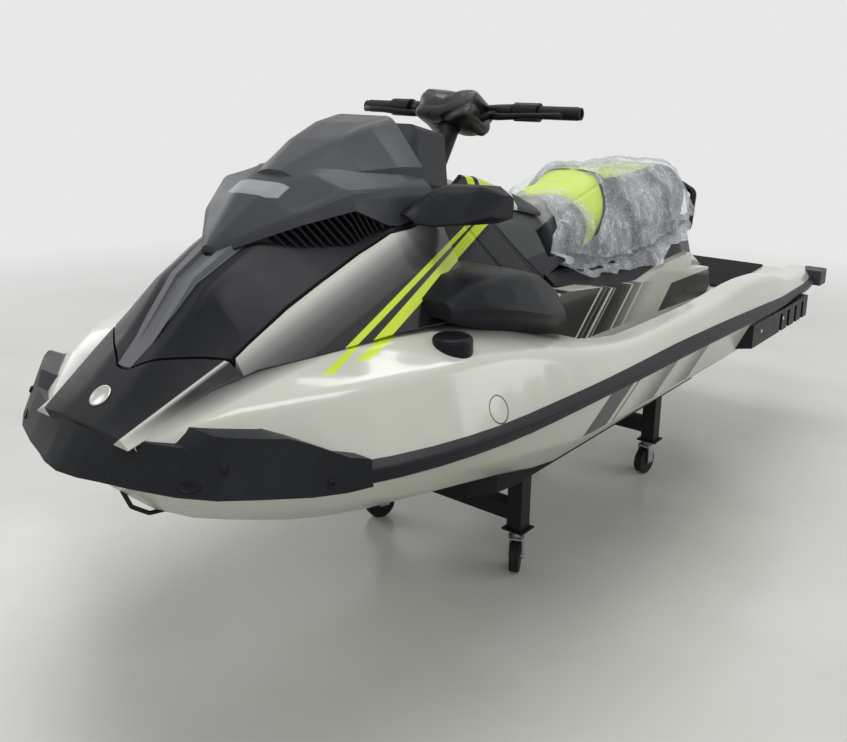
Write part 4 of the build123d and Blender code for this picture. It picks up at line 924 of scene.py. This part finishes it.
# node, point beside the surface, direction towards it
BUMPER_SCREWS = [((1.40, 0.60, 0.712), (-0.18, -0.55, 0)), ((1.62, 0.46, 0.742), (-0.6, -0.6, 0))]
CASTER_PLACES = {"front_left": (0.318, 0.26), "front_right": (0.318, -0.26), "rear_left": (-0.609, 0.26), "rear_right": (-0.609, -0.26)}
PUMP_BOLT_RING, PUMP_BOLTS, PUMP_X, PUMP_Z = 0.094, 8, -1.416, 0.367


def screw_places(node, starts):
    """Where rays meet a node, on both sides of the craft."""
    skin, found = skin_of(node), []
    for (x, y, z), (dx, dy, dz) in starts:
        for side in (1, -1):
            hit, normal, _, _ = skin.ray_cast(Vector((x, y * side, z)), Vector((dx, dy * side, dz)).normalized(), 1.0)
            if hit:
                found.append((hit, normal))
    return found


grown("bumper_screws", screws, points_with_aim("bumper_points", screw_places("bow_bumper", BUMPER_SCREWS)), "craft",
      Radius=0.009, Material=materials["black"])

# %% Rows of screws on the sponsons and the caster plates
SPONSON_SCREWS = [((x, 0.75, 0.585), (0, -1, 0)) for x in (-1.22, -0.98, -0.74)]
grown("sponson_screws", screws, points_with_aim("sponson_points", screw_places("sponsons", SPONSON_SCREWS)), "craft",
      Radius=0.007, Material=materials["steel"])
PLATE_BOLT, PLATE_UNDER = 0.027, 0.10
plate_starts = [((x + dx, abs(y) + dy, PLATE_UNDER), (0, 0, 1)) for x, y in ((0.318, 0.26), (-0.609, 0.26))
                for dx in (-PLATE_BOLT, PLATE_BOLT) for dy in (-PLATE_BOLT, PLATE_BOLT)]
grown("caster_bolts", screws, points_with_aim("plate_points", screw_places("cradle_posts", plate_starts)), "craft",
      Radius=0.006, Material=materials["steel"])

# %% [markdown]
# ## Grips
# Rubber grips have rings moulded round them so that wet gloves don't slip. A ring is a circle
# with a small round section, repeated along the grip's axis.

# %% Grip ribs
GRIP_INNER, GRIP_OUTER, GRIP_PITCH = Vector((0.2950, 0.262, 1.365)), Vector((0.2856, 0.369, 1.365)), 0.0062
GRIP_RADIUS, RIB_RADIUS = 0.0172, 0.0016


def ring_tree():
    tree = Tree("ring_rows", Pitch="NodeSocketFloat", Radius="NodeSocketFloat", Thick="NodeSocketFloat",
                Material="NodeSocketMaterial")
    enter = tree.enter.outputs
    line = tree.add("GeometryNodeMeshToCurve", Mesh=enter["Geometry"])
    steps = tree.add("GeometryNodeCurveToPoints", Curve=line.outputs[0])
    steps.mode = "LENGTH"
    tree.put(steps.inputs["Length"], enter["Pitch"])
    circle = tree.add("GeometryNodeCurvePrimitiveCircle", Radius=enter["Radius"], Resolution=28)
    section = tree.add("GeometryNodeCurvePrimitiveCircle", Radius=enter["Thick"], Resolution=6)
    ring = tree.add("GeometryNodeCurveToMesh", Curve=circle.outputs[0], Profile_Curve=section.outputs[0])
    placed = tree.add("GeometryNodeInstanceOnPoints", Points=steps.outputs["Points"], Instance=ring.outputs[0],
                      Rotation=steps.outputs["Rotation"])
    return tree.close(placed.outputs[0])


rings = ring_tree()
for side, word in ((1, "left"), (-1, "right")):
    mesh = bpy.data.meshes.new("grip_line")
    mesh.from_pydata([(p.x, p.y * side, p.z) for p in (GRIP_INNER, GRIP_OUTER)], [(0, 1)], [])
    line = bpy.data.objects.new("grip_line", mesh)
    scene.collection.objects.link(line)
    grown("grip_ribs_" + word, rings, line, "steering", Pitch=GRIP_PITCH, Radius=GRIP_RADIUS, Thick=RIB_RADIUS,
          Material=materials["rubber"])

# %% [markdown]
# ## Bar pad, switch cases and levers
# A soft black pad wraps the middle of the bar; its cover lies in thick rolls. It starts as the
# CAD block, is made even and blown up like the seat, and the rolls are pressed in. The switch
# cases and levers are lofted through rings, which a moulded taper needs.

# %% Bar pad
ROLL_WAY, ROLL_PITCH, ROLL_DEEP = Vector((0.45, 0.25, -0.86)).normalized(), 0.042, 0.008
PAD_CAP = 0.006
pad = even_copy("bar_cushion", ["bar_pad"], 0.005)
for vertex in pad.data.vertices:
    wave = noise.noise(vertex.co * 9.0) * 0.012
    phase = math.pi * (vertex.co.dot(ROLL_WAY) + wave + 0.25 * abs(vertex.co.y)) / ROLL_PITCH
    vertex.co -= vertex.normal * ROLL_DEEP * (1 - abs(math.sin(phase)) ** 0.5)
pad.modifiers.new("ease", "SMOOTH").iterations = 2
pad = settled(pad)
stuffed(pad, PAD_CAP, -1.0)
round_off = pad.modifiers.new("fine", "SUBSURF")
round_off.levels = round_off.render_levels = 1
pad = settled(pad)


def pad_material():
    paint = Paint("pad_leather")
    shade = paint.mix(paint.noise(12.0), (0.008, 0.008, 0.009), (0.018, 0.018, 0.020))
    pebbled = paint.bump(paint.cells(500.0), 0.0003)
    return paint.finish(shade, 0.34, paint.bump(paint.noise(38.0, 4.0), 0.002, pebbled))


materials["pad"] = pad_material()
pad.data.materials.clear()
pad.data.materials.append(materials["pad"])
pad.data.polygons.foreach_set("use_smooth", [True] * len(pad.data.polygons))
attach(pad, "steering")
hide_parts("bar_pad")
print("bar cushion", len(pad.data.polygons), "faces")

# %% Switch cases and levers
BAR_AXIS = [(0.318, 0.0), (0.2955, 0.255)]
# distance from the middle, half height, share of it forward
CASE_RINGS = [(0.098, 0.0125), (0.102, 0.0185), (0.135, 0.0215), (0.176, 0.0235), (0.180, 0.0195)]
# distance from the middle, forward of the bar, below the bar, half thickness
LEVER_RINGS = [
    (0.120, 0.028, 0.014, 0.006), (0.150, 0.040, 0.014, 0.0065), (0.190, 0.052, 0.012, 0.006),
    (0.250, 0.060, 0.008, 0.0052), (0.310, 0.060, 0.006, 0.005), (0.345, 0.052, 0.006, 0.0065),
    (0.352, 0.050, 0.006, 0.003),
]
BAR_HEIGHT = 1.365
for side, word in ((1, "left"), (-1, "right")):
    def on_bar(y, forward=0.0, below=0.0):
        lean = (BAR_AXIS[1][0] - BAR_AXIS[0][0]) / BAR_AXIS[1][1]
        return Vector((BAR_AXIS[0][0] + lean * y + forward, y * side, BAR_HEIGHT - below))

    along = Vector((-0.087, side, 0))
    case = piece("switch_case_" + word, *loft([ring_round(on_bar(y), along, r, 20, 0.9) for y, r in CASE_RINGS]), materials["black"], "steering")
    lever = piece("lever_" + word, *loft([ring_round(on_bar(y, f, b), along, r, 12, 1.5) for y, f, b, r in LEVER_RINGS]), materials["black"], "steering")
    print(case.name, lever.name)

# %% [markdown]
# ## Console crown
# Two raised rails run down the console's top from the instruments to its tail, ivory with the
# ends of the lime stripes, and end in a grey tip. Each is one strip with a ridge, so it is
# lofted from five-sided sections.

# %% Console crown
# station, distance of the ridge from the middle, height of the top of the console, rise of the ridge
CROWN_RAILS = [
    (0.462, 0.0905, 1.1590, 0.010), (0.430, 0.0895, 1.1535, 0.040), (0.340, 0.0855, 1.1300, 0.050),
    (0.220, 0.0810, 1.1000, 0.042), (0.100, 0.0765, 1.0740, 0.027), (0.020, 0.0700, 1.0560, 0.014),
    (-0.026, 0.0620, 1.0460, 0.004),
]
CROWN_INNER, CROWN_OUTER, CROWN_SUNK = 0.0125, 0.022, 0.012


def crown_pattern(paint, shade):
    station = paint.linear(1.0, 0.9, 0.0, -0.08)
    shade = paint.mix(paint.over(paint.math("SUBTRACT", 0.150, station)), IVORY, SLATE)
    shade = paint.mix(paint.between(station, 0.290, 0.335), shade, LIME)
    shade = paint.mix(paint.over(paint.math("SUBTRACT", station, 0.350)), shade, BLACK)
    return paint.mix(paint.between(station, 0.375, 0.415), shade, LIME)


materials["crown"] = moulded("console_crown", IVORY, 0.26, pattern=crown_pattern)
for side, word in ((1, "left"), (-1, "right")):
    sections = []
    for x, y, z, rise in CROWN_RAILS:
        profile = [(y - CROWN_INNER, z - CROWN_SUNK), (y - CROWN_INNER, z + rise * 0.62), (y - 0.004, z + rise),
                   (y + 0.006, z + rise * 0.86), (y + CROWN_OUTER, z - 0.010), (y + CROWN_OUTER, z - CROWN_SUNK - 0.010)]
        sections.append([Vector((x, a * side, b)) for a, b in profile])
    crown = piece("console_crown_" + word, *loft(sections), materials["crown"], "craft", smooth=False)
    bevel = crown.modifiers.new("edge", "BEVEL")
    bevel.width, bevel.segments, bevel.limit_method = 0.0025, 2, "ANGLE"
print("crown rails", len(CROWN_RAILS), "sections each")

# %% [markdown]
# ## Small plates on the nose and bumper
# A plain round plate sits on the nose and an oval plug fills the bumper's drain on each side.
# Both are lathe-like forms with a raised rim, pressed flat in one direction for the plug.

# %% Plates
# radius and height of a rim section, metres
PLATE_RINGS = [(0.0255, 0.0), (0.0255, 0.0022), (0.0240, 0.0032), (0.0220, 0.0032), (0.0205, 0.0020), (0.0, 0.0024)]
NOSE_PLATE, NOSE_PLATE_WAY = Vector((1.70, 0.0, 1.02)), Vector((-0.63, 0, -0.78))
PLUG_START, PLUG_WAY, PLUG_WIDE, PLUG_FLAT = Vector((1.75, 0.41, 0.708)), Vector((-0.78, -0.45, 0)), 0.95, 0.42


def plate_on(name, node, start, way, wide, flat, material):
    hit, normal, _, _ = skin_of(node).ray_cast(start, way.normalized(), 1.0)
    rings = [[p + normal * h for p in ring_round(hit - normal * 0.0008, normal, max(r, 0.0004) * wide, 40, flat)] for r, h in PLATE_RINGS]
    return piece(name, *loft(rings), material, "craft")


plate_on("nose_plate", "nose_panel", NOSE_PLATE, NOSE_PLATE_WAY, 1.0, 1.0, metal("plate_silver", (0.62, 0.62, 0.60), 0.34))
for side, word in ((1, "left"), (-1, "right")):
    plate_on("bumper_plug_" + word, "bow_bumper", Vector((PLUG_START.x, PLUG_START.y * side, PLUG_START.z)),
             Vector((PLUG_WAY.x, PLUG_WAY.y * side, 0)), PLUG_WIDE, PLUG_FLAT, materials["black"])
print("plates set")

# %% [markdown]
# ## Stitches
# The panels of the seat cover are joined by topstitched seams. A thread shows as short raised
# dashes a few millimetres long, beside the drawn-in seam, so a line along the seam is traced on
# the finished pad and a small capsule is repeated on it.

# %% Seat stitches
STITCH_PITCH, STITCH_RADIUS, STITCH_LENGTH, STITCH_SIDE = 0.0065, 0.0007, 0.0042, 0.008


def stitch_tree():
    tree = Tree("stitch_rows", Pitch="NodeSocketFloat", Radius="NodeSocketFloat", Length="NodeSocketFloat",
                Material="NodeSocketMaterial")
    enter = tree.enter.outputs
    line = tree.add("GeometryNodeMeshToCurve", Mesh=enter["Geometry"])
    steps = tree.add("GeometryNodeCurveToPoints", Curve=line.outputs[0])
    steps.mode = "LENGTH"
    tree.put(steps.inputs["Length"], enter["Pitch"])
    thread = tree.add("GeometryNodeMeshCylinder", Vertices=6, Radius=enter["Radius"], Depth=enter["Length"])
    placed = tree.add("GeometryNodeInstanceOnPoints", Points=steps.outputs["Points"], Instance=thread.outputs[0],
                      Rotation=steps.outputs["Rotation"])
    return tree.close(placed.outputs[0])


pad_points, pad_faces = [], []
for cushion in pads:
    first = len(pad_points)
    pad_points += [v.co.copy() for v in cushion.data.vertices]
    pad_faces += [[first + i for i in f.vertices] for f in cushion.data.polygons]
pad_skin = BVHTree.FromPolygons(pad_points, pad_faces)


def seam_line(curve, offset):
    """Points on the pad along one edge of the crescent."""
    line = []
    for step in range(-40, 41):
        angle = math.radians(76) * step / 40
        out_way = Vector((0, math.sin(angle), math.cos(angle)))
        x = cubic(0.1, curve)
        for _ in range(5):
            axis = Vector((x, 0, FILM_AXIS_Z))
            hit = pad_skin.ray_cast(axis + out_way * 0.6, -out_way, 0.6)[0]
            if not hit:
                break
            x = cubic(min(round_way(hit), CRESCENT_REACH), curve) + offset
        if hit and round_way(hit) < CRESCENT_REACH - 0.02:
            line.append(hit + out_way * STITCH_RADIUS * 0.4)
    return line


stitches = stitch_tree()
thread_material = moulded("lime_thread", (0.45, 0.55, 0.08), 0.6, 900.0, 0.0001)
for name, curve, offset in (("front", CRESCENT_FRONT, -STITCH_SIDE), ("rear", CRESCENT_REAR, STITCH_SIDE)):
    line_points = seam_line(curve, offset)
    mesh = bpy.data.meshes.new("seam_line")
    mesh.from_pydata([tuple(p) for p in line_points], [(i, i + 1) for i in range(len(line_points) - 1)], [])
    seam = bpy.data.objects.new("seam_line", mesh)
    scene.collection.objects.link(seam)
    grown("stitches_" + name, stitches, seam, "seat", Pitch=STITCH_PITCH, Radius=STITCH_RADIUS, Length=STITCH_LENGTH,
          Material=thread_material)
bpy.data.objects.remove(bpy.data.objects["screw_head"])

# %% [markdown]
# ## Floor and light
# A pale polished floor that fades into a plain backdrop, and large soft lamps like the lit
# ceiling of a hall. The fade is seen by the camera and by reflections only, so it sheds no light.

# %% Floor
FLOOR_HALF = 30.0
FADE_START, FADE_END = 2.4, 6.0
BACKDROP = (0.80, 0.81, 0.80)
floor_mesh = bpy.data.meshes.new("floor")
corners = [(x * FLOOR_HALF, y * FLOOR_HALF, 0) for x, y in ((-1, -1), (1, -1), (1, 1), (-1, 1))]
floor_mesh.from_pydata(corners, [], [(0, 1, 2, 3)])
floor = bpy.data.objects.new("floor", floor_mesh)
scene.collection.objects.link(floor)


def seen_directly(tree):
    """1 for a ray from the camera, a mirror or glass."""
    rays = tree.nodes.new("ShaderNodeLightPath")
    total = rays.outputs["Is Camera Ray"]
    for name in ("Is Glossy Ray", "Is Transmission Ray"):
        either = tree.nodes.new("ShaderNodeMath")
        either.operation = "MAXIMUM"
        tree.links.new(total, either.inputs[0])
        tree.links.new(rays.outputs[name], either.inputs[1])
        total = either.outputs[0]
    return total


floor_paint = Paint("floor")
floor_shade = floor_paint.mix(floor_paint.ramp(floor_paint.noise(1.6, 5.0), 0.35, 0.65), (0.64, 0.635, 0.59), (0.69, 0.685, 0.64))
floor_paint.finish(floor_shade, 0.24, floor_paint.bump(floor_paint.noise(2.0), 0.002))
away = floor_paint.math("SQRT", floor_paint.math("ADD", floor_paint.math("POWER", floor_paint.x, 2.0), floor_paint.math("POWER", floor_paint.y, 2.0)))
faded = floor_paint.math("MULTIPLY", floor_paint.ramp(away, FADE_START, FADE_END), seen_directly(floor_paint.tree))
glow = floor_paint.add("ShaderNodeEmission", Color=(*BACKDROP, 1.0), Strength=1.0)
blend = floor_paint.add("ShaderNodeMixShader")
floor_paint.put(blend.inputs[0], faded)
floor_paint.put(blend.inputs[1], floor_paint.shader.outputs[0])
floor_paint.put(blend.inputs[2], glow.outputs[0])
floor_paint.put(floor_paint.tree.nodes["Material Output"].inputs["Surface"], blend.outputs[0])
floor_mesh.materials.append(floor_paint.material)

# %% World
world = bpy.data.worlds.new("studio")
scene.world = world
world.use_nodes = True
tree = world.node_tree
tree.nodes.clear()
ambient, backdrop = tree.nodes.new("ShaderNodeBackground"), tree.nodes.new("ShaderNodeBackground")
ambient.inputs["Color"].default_value = (0.93, 0.96, 1.0, 1)
ambient.inputs["Strength"].default_value = 0.44
backdrop.inputs["Color"].default_value = (*BACKDROP, 1)
choose, out = tree.nodes.new("ShaderNodeMixShader"), tree.nodes.new("ShaderNodeOutputWorld")
tree.links.new(seen_directly(tree), choose.inputs[0])
tree.links.new(ambient.outputs[0], choose.inputs[1])
tree.links.new(backdrop.outputs[0], choose.inputs[2])
tree.links.new(choose.outputs[0], out.inputs[0])

# %% Lamps
# place, aimed at, size, size_y, watts
LAMPS = [
    ((1.5, 0.5, 4.2), (0.2, 0, 0.5), 3.2, 1.0, 58),
    ((-1.4, -0.4, 4.2), (-0.6, 0, 0.6), 3.2, 1.0, 50),
    ((4.0, 3.6, 2.6), (0.4, 0, 0.6), 2.2, 2.2, 32),
    ((-2.6, 3.6, 2.4), (-0.6, 0, 0.6), 2.4, 1.6, 32),
    ((0.5, -4.0, 2.6), (0, 0, 0.6), 2.6, 1.6, 28),
]
for place, aim, size, size_y, watts in LAMPS:
    lamp = bpy.data.lights.new("lamp", "AREA")
    lamp.shape, lamp.size, lamp.size_y, lamp.energy = "RECTANGLE", size, size_y, watts
    holder = bpy.data.objects.new("lamp", lamp)
    holder.location = place
    holder.rotation_euler = (Vector(aim) - Vector(place)).to_track_quat("-Z", "Y").to_euler()
    scene.collection.objects.link(holder)
print(len(LAMPS), "lamps")
